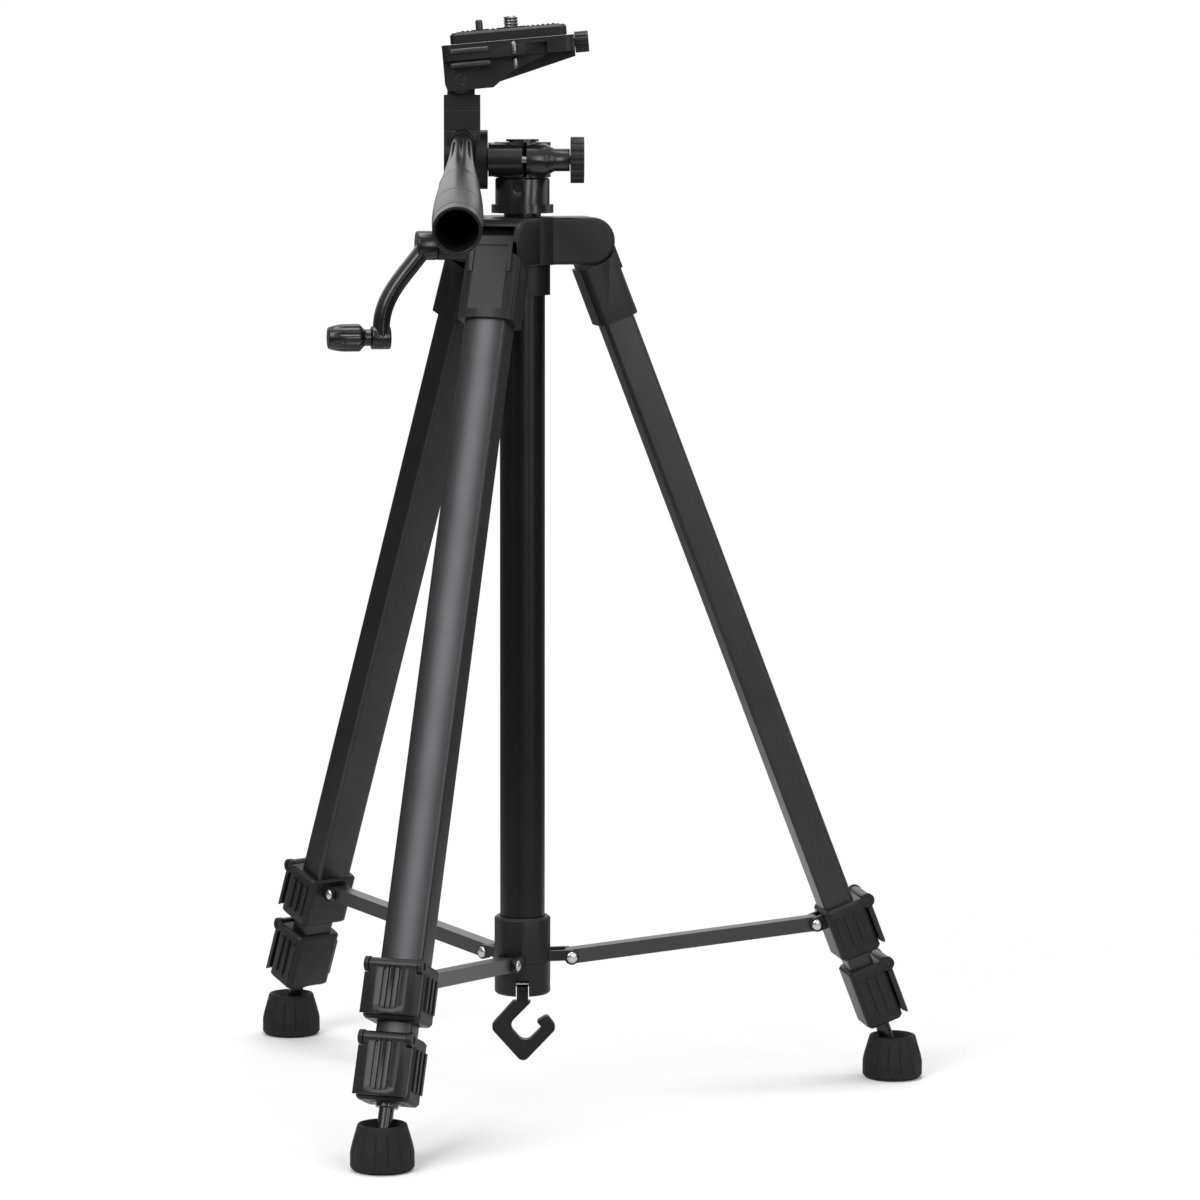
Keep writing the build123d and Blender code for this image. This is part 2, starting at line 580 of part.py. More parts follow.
def end_cap():
    cap = rod_z(CAP_RADIUS, CAP_BOTTOM, CAP_TOP)
    cap = chamfer(cap.edges().group_by(Axis.Z)[0], CAP_CHAMFER)
    cap -= rod_z(TUBE_RADIUS + SEAT_GAP, CAP_BOTTOM + CAP_FLOOR, CAP_TOP + 1)
    half_slot = HOOK_SHANK / 2 + MOVE_GAP
    cap -= block((-half_slot, half_slot), (-CAP_RADIUS, CAP_RADIUS), (0, CAP_BOTTOM + CAP_FLOOR))
    return cap - rod_x(HOOK_PIN_RADIUS + SEAT_GAP, -CAP_RADIUS, CAP_RADIUS, 0, CAP_BOTTOM + HOOK_PIN_RISE)


def hook_pin():
    reach = CAP_RADIUS - 1
    return rod_x(HOOK_PIN_RADIUS, -reach, reach, 0, CAP_BOTTOM + HOOK_PIN_RISE)


def hook():
    pin_z = CAP_BOTTOM + HOOK_PIN_RISE
    path = FilletPolyline(*[(x, pin_z - drop) for x, drop in HOOK_OUTLINE], radius=HOOK_ROUNDS, close=True)
    piece = across(make_face(path), -HOOK_THICK / 2, HOOK_THICK / 2)
    neck_drop = HOOK_OUTLINE[0][1]
    half = HOOK_SHANK / 2
    piece += block((-half, half), (-HOOK_THICK / 2, HOOK_THICK / 2), (pin_z - neck_drop - 1, pin_z))
    piece += rod_x(HOOK_EYE_RADIUS, -half, half, 0, pin_z)
    mouth = HOOK_PIN_RADIUS + PIN_GAP - HOOK_SNAP
    piece -= block((-half, half), (-2 * HOOK_EYE_RADIUS, 0), (pin_z - mouth, pin_z + mouth))
    return piece - rod_x(HOOK_PIN_RADIUS + PIN_GAP, -CAP_RADIUS, CAP_RADIUS, 0, pin_z)


def rack_frame():
    return Rotation(0, 0, RACK_ANGLE)


def crank_frame():
    return rack_frame() * Pos(RACK_OFFSET, 0, CRANK_Z) * Rotation(0, 0, 90)


def leg_recess():
    width = TRUNNION_RADIUS + MOVE_GAP
    reach = 2 * KNUCKLE_RADIUS
    shape = Circle(width)
    for angle in (RECESS_HIGH, RECESS_LOW):
        shape += Rotation(0, 0, angle) * Pos(reach / 2, 0) * Rectangle(reach, 2 * width)
    shape += outline(
        (0, 0), (reach * cos(radians(RECESS_HIGH)), reach * sin(radians(RECESS_HIGH))),
        (reach * cos(radians(RECESS_LOW)), reach * sin(radians(RECESS_LOW))))
    half = SOCKET_WIDTH / 2 - CHEEK + TRUNNION_DEPTH
    return Pos(LEG_PIVOT_RADIUS, 0, LEG_PIVOT_Z) * across(shape, -half, half)


def crown():
    side = Pos(LEG_PIVOT_RADIUS, LEG_PIVOT_Z) * Circle(KNUCKLE_RADIUS)
    side += Pos(LEG_PIVOT_RADIUS / 2, LEG_PIVOT_Z) * Rectangle(LEG_PIVOT_RADIUS, 2 * KNUCKLE_RADIUS)
    lobe = across(side, -SOCKET_WIDTH / 2, SOCKET_WIDTH / 2)
    lobe = fillet(lobe.faces().filter_by(Axis.Y).edges(), LOBE_FILLET)
    body = rod_z(CORE_RADIUS, CROWN_BOTTOM, CROWN_TOP) + rod_z(SLEEVE_RADIUS, SLEEVE_BOTTOM, CROWN_BOTTOM + 1)
    for angle in LEG_ANGLES:
        body += Rotation(0, 0, angle) * lobe
    body += crank_frame() * rod_x(BOSS_RADIUS, 0, BOSS_REACH, 0, 0)
    half_pocket = SOCKET_WIDTH / 2 - CHEEK
    pocket = block(
        (POCKET_RADIUS, 3 * POCKET_RADIUS), (-half_pocket, half_pocket), (SLEEVE_BOTTOM, CROWN_TOP - ROOF))
    for angle in LEG_ANGLES:
        body -= Rotation(0, 0, angle) * pocket
        body -= Rotation(0, 0, angle) * leg_recess()
    body -= rod_z(TUBE_RADIUS + SEAT_GAP, SLEEVE_BOTTOM - 1, CENTRE_TUBE_TOP)
    body -= rod_z(COLUMN_RADIUS + MOVE_GAP, CENTRE_TUBE_TOP, CROWN_TOP + 1)
    shaft_hole = rod_x(SHAFT_RADIUS + PIN_GAP, -SHAFT_INNER - MOVE_GAP, BOSS_REACH + 1, 0, 0)
    gear_half = PINION_WIDTH / 2 + MOVE_GAP
    gear_room = rod_x(PINION_RADIUS + PINION_ADDENDUM + MOVE_GAP, -gear_half, gear_half, 0, 0)
    return body - crank_frame() * (shaft_hole + gear_room)


def centre_column():
    top = BASE_Z + COLUMN_IN_BASE
    bottom = CROWN_TOP - COLUMN_BELOW
    tube = rod_z(COLUMN_RADIUS, bottom, top) - rod_z(COLUMN_RADIUS - COLUMN_WALL, bottom, top)
    slot_start = RACK_OFFSET - SHAFT_RADIUS - 2 * MOVE_GAP - PIN_GAP
    slot = block(
        (slot_start, 2 * COLUMN_RADIUS), (-COLUMN_RADIUS, COLUMN_RADIUS), (bottom + COLUMN_FOOT, BASE_Z))
    return tube - rack_frame() * slot


def column_rack():
    pitch = pi * GEAR_MODULE
    pitch_x = RACK_OFFSET - PINION_RADIUS
    slope = tan(radians(PRESSURE_ANGLE))
    half = pitch / 4 - BACKLASH / 2
    back = COLUMN_WALL - COLUMN_RADIUS
    points = []
    for step in range(RACK_TEETH_ABOVE - RACK_TEETH, RACK_TEETH_ABOVE):
        middle = CRANK_Z + (step + 0.5) * pitch
        root_half = half + DEDENDUM * slope
        tip_half = half - RACK_ADDENDUM * slope
        points += [
            (pitch_x - DEDENDUM, middle - root_half), (pitch_x + RACK_ADDENDUM, middle - tip_half),
            (pitch_x + RACK_ADDENDUM, middle + tip_half), (pitch_x - DEDENDUM, middle + root_half)]
    low, high = points[0][1] - RACK_LAND, points[-1][1] + RACK_LAND
    points += [(pitch_x - DEDENDUM, high), (back, high), (back, low), (pitch_x - DEDENDUM, low)]
    bar = across(outline(*points), -RACK_WIDTH / 2, RACK_WIDTH / 2)
    inside = rod_z(COLUMN_RADIUS - COLUMN_WALL - SEAT_GAP, low, high)
    return rack_frame() * (bar & inside)


def pinion_profile():
    pressure = radians(PRESSURE_ANGLE)
    base = PINION_RADIUS * cos(pressure)
    tip = PINION_RADIUS + PINION_ADDENDUM
    half_pitch_angle = (pi * GEAR_MODULE / 2 - BACKLASH) / 2 / PINION_RADIUS
    offset = half_pitch_angle + tan(pressure) - pressure
    flank_steps = 5
    flank = []
    for step in range(flank_steps + 1):
        radius = base + (tip - base) * step / flank_steps
        roll = acos(base / radius)
        flank.append((radius, offset - tan(roll) + roll))
    flank.insert(0, (PINION_RADIUS - DEDENDUM, flank[0][1]))
    points = []
    for tooth in range(PINION_TEETH):
        middle = 2 * pi * tooth / PINION_TEETH
        points += [(radius * cos(middle - turn), radius * sin(middle - turn)) for radius, turn in flank]
        points += [(radius * cos(middle + turn), radius * sin(middle + turn)) for radius, turn in flank[::-1]]
    return outline(*points)


def crank_pinion():
    gear = across(pinion_profile(), -PINION_WIDTH / 2, PINION_WIDTH / 2)
    gear = Rotation(0, 0, -90) * gear
    shaft = rod_x(SHAFT_RADIUS, -SHAFT_INNER, BOSS_REACH + MOVE_GAP + CRANK_HUB - SHAFT_END_WALL, 0, 0)
    return crank_frame() * (gear + shaft)


def crank_arm():
    start = BOSS_REACH + MOVE_GAP
    middle = start + CRANK_HUB / 2
    end = middle + CRANK_OUT
    path = Spline(
        (middle, 0), ((middle + end) / 2, -CRANK_THROW * ARM_BEND), (end, -CRANK_THROW),
        tangents=((0.7, -1), (-0.1, -1)))
    bar = across(trace(path, ARM_THICK), -ARM_WIDTH / 2, ARM_WIDTH / 2)
    bar += rod_x(CRANK_HUB_RADIUS, start, start + CRANK_HUB, 0, 0)
    bar += rod_x(ARM_WIDTH / 2, end - ARM_THICK / 2, end + ARM_THICK / 2 + ARM_END, 0, -CRANK_THROW)
    bar += rod_x(KNOB_STUB_RADIUS, end, end + ARM_THICK / 2 + KNOB_LENGTH - STUB_SHORT, 0, -CRANK_THROW)
    return crank_frame() * (bar - rod_x(SHAFT_RADIUS + SEAT_GAP, 0, start + CRANK_HUB - SHAFT_END_WALL, 0, 0))


def crank_knob():
    start = BOSS_REACH + CRANK_HUB / 2 + CRANK_OUT + ARM_THICK / 2 + ARM_END + 2 * MOVE_GAP
    nose = KNOB_RADIUS - KNOB_NOSE
    side = Polyline(
        (0, 0), (KNOB_NECK_RADIUS, 0), (KNOB_NECK_RADIUS, KNOB_NECK), (KNOB_RADIUS, KNOB_SHOULDER))
    crest = Spline(
        (KNOB_RADIUS, KNOB_SHOULDER), (KNOB_RADIUS, KNOB_LENGTH - KNOB_SHOULDER), (nose, KNOB_LENGTH),
        tangents=((0, 1), (-1, 0.4)))
    close = Polyline((nose, KNOB_LENGTH), (0, KNOB_LENGTH), (0, 0))
    body = revolve(Plane.XZ * make_face(side.edges() + crest.edges() + close.edges()), Axis.Z)
    fluted = KNOB_LENGTH - KNOB_SHOULDER
    body -= flutes(KNOB_FLUTES, KNOB_FLUTE_RADIUS, KNOB_RADIUS, fluted, KNOB_SHOULDER + fluted / 2)
    body -= rod_z(KNOB_STUB_RADIUS + PIN_GAP, -1, KNOB_LENGTH - KNOB_END_WALL)
    return crank_frame() * Pos(start, 0, -CRANK_THROW) * Rotation(0, 90, 0) * body


def pan_base():
    base = rod_z(FLANGE_RADIUS, BASE_Z, BASE_Z + FLANGE) + rod_z(BASE_RADIUS, BASE_Z, BASE_TOP)
    base = chamfer(base.edges().group_by(Axis.Z)[-1], BASE_CHAMFER)
    cap_low = CLAMP_TOP + MOVE_GAP
    base += rod_z(SPINDLE_RADIUS, BASE_TOP - 1, cap_low)
    base += rod_z(SPINDLE_CAP_RADIUS, cap_low, cap_low + SPINDLE_CAP)
    base -= rod_z(COLUMN_RADIUS + SEAT_GAP, BASE_Z - 1, BASE_Z + COLUMN_IN_BASE)
    screw_z = BASE_Z + FLANGE + SET_SCREW_RISE
    depth = SET_SCREW_DEPTH - BASE_RADIUS
    return base - rod_y(SET_SCREW_RADIUS, -2 * BASE_RADIUS, depth, -CLAMP_SPLIT, screw_z)


def pan_clamp():
    bolt_y = CLAMP_BOLT_Y
    body = rod_z(CLAMP_RADIUS, CLAMP_BOTTOM, CLAMP_TOP)
    body += rod_x(CLAMP_BARREL_RADIUS, BARREL_LEFT, BARREL_RIGHT, bolt_y, TILT_Z)
    taper = Cone(CLAMP_BARREL_RADIUS, CLAMP_NECK_RADIUS, CLAMP_SPLIT * 2)
    body += Pos(BARREL_RIGHT + CLAMP_SPLIT, bolt_y, TILT_Z) * Rotation(0, 90, 0) * taper
    body += rod_x(CLAMP_NECK_RADIUS, BARREL_RIGHT, CLAMP_NECK_END, bolt_y, TILT_Z)
    body += rod_x(AXLE_BARREL_RADIUS, BARREL_LEFT, 0, 0, TILT_Z)
    body -= rod_z(SPINDLE_RADIUS + PIN_GAP, CLAMP_BOTTOM - 1, CLAMP_TOP + 1)
    split = (CLAMP_SPLIT_X - CLAMP_SPLIT / 2, CLAMP_SPLIT_X + CLAMP_SPLIT / 2)
    body -= block(split, (-3 * CLAMP_RADIUS, 0), (CLAMP_BOTTOM - 1, CLAMP_TOP + 1))
    body -= rod_x(PAN_BOLT_RADIUS + PIN_GAP, BARREL_LEFT + BOLT_END_WALL, CLAMP_NECK_END + 1, bolt_y, TILT_Z)
    return body + rod_x(TILT_AXLE_RADIUS, BRACKET_LEFT + BRACKET_WALL, BARREL_LEFT + 1, 0, TILT_Z)


def pan_knob():
    start = CLAMP_NECK_END + MOVE_GAP
    ring = PAN_KNOB_RADIUS + PAN_FLUTE_OUT
    wheel = Cylinder(PAN_KNOB_RADIUS, PAN_KNOB) - flutes(PAN_KNOB_FLUTES, PAN_FLUTE_RADIUS, ring, PAN_KNOB)
    wheel = Pos(start + PAN_KNOB / 2, CLAMP_BOLT_Y, TILT_Z) * Rotation(0, 90, 0) * wheel
    return wheel + rod_x(PAN_BOLT_RADIUS, BARREL_LEFT + BOLT_END_WALL + 1, start + 1, CLAMP_BOLT_Y, TILT_Z)


def handle_frame():
    return Pos(HANDLE_X, HANDLE_BACK, TILT_Z + HANDLE_RISE) * Rotation(90 + HANDLE_DIP, 0, 0)


def tilt_bracket():
    depth = BRACKET_HALF_DEPTH
    top = TILT_Z + BRACKET_HEIGHT
    body = rod_x(BRACKET_ROUND, BRACKET_LEFT, BRACKET_RIGHT, 0, TILT_Z)
    body += block((BRACKET_LEFT, BRACKET_RIGHT), (-depth, depth), (TILT_Z, top))
    body += rod_x(TILT_DISC_RADIUS, BRACKET_RIGHT - BRACKET_WALL, BARREL_LEFT - MOVE_GAP, 0, TILT_Z)
    body += rod_y(FLIP_RADIUS, -FLIP_KNUCKLE, FLIP_KNUCKLE, FLIP_X, FLIP_Z)
    body += block(
        (FLIP_X - FLIP_RADIUS, FLIP_X + FLIP_RADIUS), (-FLIP_KNUCKLE, FLIP_KNUCKLE), (top - 1, FLIP_Z))
    body += handle_frame() * rod_z(HANDLE_BOSS_RADIUS, 0, HANDLE_BOSS)
    for drop in SEAM_DROPS:
        for side in (-1, 1):
            body -= block(
                (BRACKET_LEFT, BRACKET_RIGHT), (side * depth - SEAM_DEPTH, side * depth + SEAM_DEPTH),
                (top - drop - SEAM_HEIGHT, top - drop))
    body -= rod_x(TILT_AXLE_RADIUS + PIN_GAP, BRACKET_LEFT + BRACKET_WALL - MOVE_GAP, BARREL_LEFT, 0, TILT_Z)
    body -= rod_y(FLIP_PIN_RADIUS + PIN_GAP, -FLIP_REACH, FLIP_REACH, FLIP_X, FLIP_Z)
    return body - handle_frame() * rod_z(ROD_RADIUS + PIN_GAP, 0, 2 * HANDLE_BOSS)


def handle_rod():
    return handle_frame() * rod_z(ROD_RADIUS, MOVE_GAP, ROD_LENGTH)


def handle_grip():
    end = GRIP_START + GRIP_LENGTH
    swell = [(GRIP_RADIUS * part, GRIP_START + GRIP_LENGTH * along) for along, part in GRIP_SWELL]
    side = Spline(
        (GRIP_NECK_RADIUS, GRIP_START), *swell, (GRIP_RADIUS, end - GRIP_CREST),
        (GRIP_END_RADIUS, end), tangents=((0.02, 1), (-0.1, 1)))
    rest = Polyline((GRIP_END_RADIUS, end), (0, end), (0, GRIP_START), (GRIP_NECK_RADIUS, GRIP_START))
    body = revolve(Plane.XZ * make_face(side.edges() + rest.edges()), Axis.Z)
    body -= rod_z(GRIP_END_RADIUS - GRIP_WALL, end - GRIP_RECESS, end + 1)
    body -= rod_z(ROD_RADIUS + SEAT_GAP, 0, ROD_LENGTH + SEAT_GAP)
    return handle_frame() * body


def tip(piece):
    return Pos(FLIP_X, 0, FLIP_Z) * Rotation(0, -PLATFORM_TIP, 0) * piece


def platform():
    left, right = DECK_LEFT - FLIP_X, DECK_RIGHT - FLIP_X
    depth = DECK_HALF_DEPTH
    deck = block((left, right), (-depth, depth), (DECK_LOW, DECK_HIGH))
    deck = fillet(deck.edges().filter_by(Axis.Z), DECK_CORNER)
    skirt_right = SKIRT_RIGHT - FLIP_X
    skirt = outline(
        (left + 1, SKIRT_LOW), (left, SKIRT_LOW + SKIRT_CUT), (left, DECK_LOW + 1),
        (right - SKIRT_SHORT, DECK_LOW + 1), (skirt_right + SKIRT_STEP, SKIRT_STEP_Z),
        (skirt_right, SKIRT_LOW))
    deck += across(skirt, SKIRT_THICK - depth, 2 * SKIRT_THICK - depth)
    deck += across(skirt, depth - 2 * SKIRT_THICK, depth - SKIRT_THICK)
    knuckle = Circle(FLIP_RADIUS) + Pos(0, DECK_LOW / 2) * Rectangle(2 * FLIP_RADIUS, DECK_LOW + 1)
    inner = FLIP_KNUCKLE + MOVE_GAP
    outer = FLIP_REACH - KNUCKLE_SHORT
    deck += across(knuckle, -outer, -inner) + across(knuckle, inner, outer)
    web_left = BRACKET_RIGHT - FLIP_X + WEB_GAP
    web = outline(
        (web_left, WEB_LOW), (web_left, DECK_LOW + 1), (right, DECK_LOW + 1), (right, DECK_LOW - WEB_THIN))
    deck += across(web, -WEB_HALF_DEPTH, WEB_HALF_DEPTH)
    for rib_z in DECK_RIBS:
        deck += block(
            (left + DECK_RIB_START, skirt_right), (-depth - DECK_RIB_OUT, DECK_RIB_IN - depth),
            (rib_z, rib_z + DECK_RIB))
    pocket = [SCREW_X - FLIP_X + place for place in DECK_POCKET]
    deck -= block(pocket, (-depth - 1, DECK_POCKET_DEPTH - depth), (DECK_LOW, DECK_HIGH - DECK_POCKET_ROOF))
    deck -= rod_y(FLIP_PIN_RADIUS + SEAT_GAP, -FLIP_REACH, FLIP_REACH, 0, 0)
    locator = LOCATOR_X - FLIP_X
    deck -= rod_z(LOCATOR_RADIUS + PIN_GAP, DECK_HIGH - LOCATOR_TRAVEL, DECK_HIGH + 1, locator)
    lock_z = (DECK_LOW + DECK_HIGH) / 2
    return tip(deck - rod_x(LOCK_STUD_RADIUS + PIN_GAP, right - LOCK_STUD - MOVE_GAP, right + 1, 0, lock_z))


def flip_pin():
    return tip(rod_y(FLIP_PIN_RADIUS, -FLIP_REACH, FLIP_REACH, 0, 0))


def quick_plate():
    low = DECK_HIGH + FACE_GAP
    high = low + PLATE_THICK
    depth = PLATE_HALF_DEPTH
    plate = block((PLATE_LEFT - FLIP_X, PLATE_RIGHT - FLIP_X), (-depth, depth), (low, high))
    plate = fillet(plate.edges().filter_by(Axis.Z), PLATE_CORNER)
    plate = chamfer(plate.edges().group_by(Axis.Z)[-1], PLATE_CHAMFER)
    screw, locator = SCREW_X - FLIP_X, LOCATOR_X - FLIP_X
    plate -= rod_z(SCREW_RADIUS + PIN_GAP, low - 1, high + 1, screw)
    plate -= rod_z(SCREW_HEAD_RADIUS + PIN_GAP, low - 1, low + SCREW_HEAD + 2 * FACE_GAP, screw)
    return tip(plate - rod_z(LOCATOR_RADIUS + PIN_GAP, low - 1, high + 1, locator))


def camera_screw():
    low = DECK_HIGH + 2 * FACE_GAP
    high = DECK_HIGH + FACE_GAP + PLATE_THICK + SCREW_PROUD
    place = SCREW_X - FLIP_X
    thread_start = low + PLATE_THICK
    thread = rod_z(SCREW_RADIUS, thread_start, high, place)
    thread = chamfer(thread.edges().group_by(Axis.Z)[-1], SCREW_CHAMFER)
    neck = rod_z(SCREW_NECK_RADIUS, low, thread_start, place)
    return tip(thread + neck + rod_z(SCREW_HEAD_RADIUS, low, low + SCREW_HEAD, place))


def locating_pin():
    high = DECK_HIGH + FACE_GAP + PLATE_THICK + LOCATOR_PROUD
    pin = rod_z(LOCATOR_RADIUS, DECK_HIGH + FACE_GAP, high, LOCATOR_X - FLIP_X)
    return tip(chamfer(pin.edges().group_by(Axis.Z)[-1], LOCATOR_CHAMFER))


def plate_lock_knob():
    start = DECK_RIGHT - FLIP_X + MOVE_GAP
    lock_z = (DECK_LOW + DECK_HIGH) / 2
    ring = LOCK_KNOB_RADIUS + LOCK_FLUTE_OUT
    wheel = Cylinder(LOCK_KNOB_RADIUS, LOCK_KNOB) - flutes(LOCK_FLUTES, LOCK_FLUTE_RADIUS, ring, LOCK_KNOB)
    wheel = Pos(start + LOCK_KNOB / 2, 0, lock_z) * Rotation(0, 90, 0) * wheel
    return tip(wheel + rod_x(LOCK_STUD_RADIUS, start - LOCK_STUD, start + 1, 0, lock_z))


pieces = {
    "crown": crown(),
    "centre_tube": centre_tube(),
    "end_cap": end_cap(),
    "hook_pin": hook_pin(),
    "hook": hook(),
    "spreader_hub": spreader_hub(),
    "hub_rivets": hub_rivets(),
    "centre_column": centre_column(),
    "column_rack": column_rack(),
    "crank_pinion": crank_pinion(),
    "crank_arm": crank_arm(),
    "crank_knob": crank_knob(),
    "pan_base": pan_base(),
    "pan_clamp": pan_clamp(),
    "pan_knob": pan_knob(),
    "tilt_bracket": tilt_bracket(),
    "handle_rod": handle_rod(),
    "handle_grip": handle_grip(),
    "platform": platform(),
    "flip_pin": flip_pin(),
    "quick_plate": quick_plate(),
    "camera_screw": camera_screw(),
    "locating_pin": locating_pin(),
    "plate_lock_knob": plate_lock_knob(),
}

leg_parts = {
    "socket": socket(),
    "upper_tube": upper_tube(),
    "upper_collar": upper_collar(),
    "upper_lever": lever(UPPER_LOCK),
    "lug_rivet": Pos(-LUG_OFFSET, 0, -LUG_STATION) * rivet(),
    "middle_tube": middle_tube(),
    "lower_collar": collar(LOWER_LOCK),
    "lower_lever": lever(LOWER_LOCK),
    "lower_tube": lower_tube(),
    "ball_stud": ball_stud(),
}
foot_shape = foot()
brace_shape = brace()

for name, angle in zip(LEG_NAMES, LEG_ANGLES):
    turn = Rotation(0, 0, angle)
    for part_name, shape in leg_parts.items():
        pieces[f"{name}_{part_name}"] = leg_frame(angle) * shape
    pieces[f"{name}_foot"] = turn * Pos(FOOT_CIRCLE, 0, 0) * foot_shape
    hub_pivot = turn * Pos(HUB_PIVOT_RADIUS, 0, HUB_PIVOT_Z)
    pieces[f"{name}_brace"] = hub_pivot * Rotation(0, -BRACE_RISE, 0) * brace_shape

for name, shape in pieces.items():
    export_step(shape, f"parts/{name}.step")
    print(name, len(shape.solids()), round(sum(solid.volume for solid in shape.solids()), 1))
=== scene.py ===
import json
import math

import bmesh
import bpy
from mathutils import Matrix, Vector


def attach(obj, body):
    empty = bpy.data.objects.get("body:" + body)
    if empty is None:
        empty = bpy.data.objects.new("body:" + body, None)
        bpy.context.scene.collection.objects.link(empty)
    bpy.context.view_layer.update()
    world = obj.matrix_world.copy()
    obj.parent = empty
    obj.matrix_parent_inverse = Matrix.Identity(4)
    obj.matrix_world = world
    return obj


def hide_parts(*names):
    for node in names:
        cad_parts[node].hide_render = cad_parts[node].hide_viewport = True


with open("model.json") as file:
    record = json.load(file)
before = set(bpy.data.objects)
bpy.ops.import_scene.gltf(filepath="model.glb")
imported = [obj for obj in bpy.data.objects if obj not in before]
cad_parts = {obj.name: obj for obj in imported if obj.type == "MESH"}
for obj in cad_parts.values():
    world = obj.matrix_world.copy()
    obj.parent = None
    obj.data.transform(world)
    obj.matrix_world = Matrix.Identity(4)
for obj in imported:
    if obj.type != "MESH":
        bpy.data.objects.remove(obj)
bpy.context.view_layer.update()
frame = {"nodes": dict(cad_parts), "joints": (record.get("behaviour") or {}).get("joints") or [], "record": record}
nodes = frame["nodes"]
joints = {joint["name"]: joint for joint in frame["joints"]}
bodies = frame["record"]["behaviour"]["bodies"]
bodyOf = {node: body for body, members in bodies.items() for node in members}
legNames = ("front", "right", "left")
mm = 0.001
print("frame loaded:", len(nodes), "nodes")

# camera, set from the photograph: the aim point on the column and the pixel where it shows
shot = {
    "aim": (0, 0, 238.9 * mm),
    "distance": 2213 * mm,
    "elevation": 5.778,
    "focalPixels": 4980,
    "framePixels": 1200,
    "aimPixel": (522.44, 560.63),
    "sensor": 36,
    "clip": (0.05, 50),
}


def placeCamera():
    data = bpy.data.cameras.new("photoCamera")
    camera = bpy.data.objects.new("photoCamera", data)
    bpy.context.scene.collection.objects.link(camera)
    rise = math.radians(shot["elevation"])
    back = Vector((0, -math.cos(rise), math.sin(rise)))
    camera.location = Vector(shot["aim"]) + back * shot["distance"]
    camera.rotation_euler = (-back).to_track_quat("-Z", "Y").to_euler()
    data.sensor_width = shot["sensor"]
    data.lens = data.sensor_width * shot["focalPixels"] / shot["framePixels"]
    half = shot["framePixels"] / 2
    data.shift_x = (half - shot["aimPixel"][0]) / shot["framePixels"]
    data.shift_y = (shot["aimPixel"][1] - half) / shot["framePixels"]
    data.clip_start, data.clip_end = shot["clip"]
    bpy.context.scene.camera = camera


# white studio: soft lamps round the tripod, a pale floor that fades out into a white background
lamps = {
    "key": {"place": (-0.95, -1.4, 1.4), "size": (1.1, 1.2), "watts": 28},
    "side": {"place": (1.65, -1.45, 0.8), "size": (0.4, 1.4), "watts": 11},
    "top": {"place": (0.1, 0.15, 2.1), "size": (1.0, 1.0), "watts": 24},
    "strip": {"place": (0.8, -2.2, 0.85), "size": (0.35, 1.2), "watts": 13},
    "back": {"place": (-0.5, 2.4, 1.3), "size": (3.0, 1.6), "watts": 17},
    "farSide": {"place": (2.3, 0.9, 0.9), "size": (1.4, 1.4), "watts": 7},
}
studio = {
    "fill": 0.18,
    "ceiling": (0.05, 0.75),      # reflections fade from dim walls to the white above between these heights
    "floorRadius": 1.1,
    "floorSteps": 96,
    "floorTone": (0.9, 0.9, 0.9, 1),
    "floorDrop": 0.2 * mm,        # keeps the floor clear of the soles
    "floorFade": (0.3, 0.8),      # the floor ends between these distances from the column
    "floorClear": (0.1, 0.85),    # how clear the floor is to the camera near a foot and away from the feet
    "footReach": (0.03, 0.13),    # it clears between these distances from the nearest foot
}


def placeLamp(name):
    lamp = lamps[name]
    data = bpy.data.lights.new(name + "Lamp", "AREA")
    data.shape = "RECTANGLE"
    data.size, data.size_y = lamp["size"]
    data.energy = lamp["watts"]
    light = bpy.data.objects.new(name + "Lamp", data)
    bpy.context.scene.collection.objects.link(light)
    light.location = lamp["place"]
    light.rotation_euler = (Vector(shot["aim"]) - light.location).to_track_quat("-Z", "Y").to_euler()


def combine(tree, operation, first, second):
    node = tree.nodes.new("ShaderNodeMath")
    node.operation = operation
    tree.links.new(first, node.inputs[0])
    tree.links.new(second, node.inputs[1])
    return node.outputs[0]


def ramp(tree, value, span, result=(0, 1)):
    node = tree.nodes.new("ShaderNodeMapRange")
    node.interpolation_type = "SMOOTHSTEP"
    node.inputs["From Min"].default_value, node.inputs["From Max"].default_value = span
    node.inputs["To Min"].default_value, node.inputs["To Max"].default_value = result
    tree.links.new(value, node.inputs["Value"])
    return node.outputs[0]


def blend(tree, share, first, second):
    node = tree.nodes.new("ShaderNodeMixShader")
    for socket, output in zip(node.inputs, (share, first, second)):
        tree.links.new(output, socket)
    return node.outputs[0]


def lightWorld():
    world = bpy.data.worlds.new("studioWorld")
    bpy.context.scene.world = world
    world.use_nodes = True
    tree = world.node_tree
    tree.nodes.clear()
    path = tree.nodes.new("ShaderNodeLightPath").outputs
    seen = combine(tree, "MAXIMUM", path["Is Camera Ray"], path["Is Transmission Ray"])
    where = tree.nodes.new("ShaderNodeSeparateXYZ")
    tree.links.new(tree.nodes.new("ShaderNodeTexCoord").outputs["Generated"], where.inputs[0])
    above = ramp(tree, where.outputs["Z"], studio["ceiling"])
    mirrored = combine(tree, "MULTIPLY", path["Is Glossy Ray"], above)
    soft = tree.nodes.new("ShaderNodeBackground")
    soft.inputs["Strength"].default_value = studio["fill"]
    white = tree.nodes.new("ShaderNodeBackground")
    for background in (soft, white):
        background.inputs["Color"].default_value = (1, 1, 1, 1)
    mixed = blend(tree, combine(tree, "MAXIMUM", seen, mirrored), soft.outputs[0], white.outputs[0])
    tree.links.new(mixed, tree.nodes.new("ShaderNodeOutputWorld").inputs["Surface"])


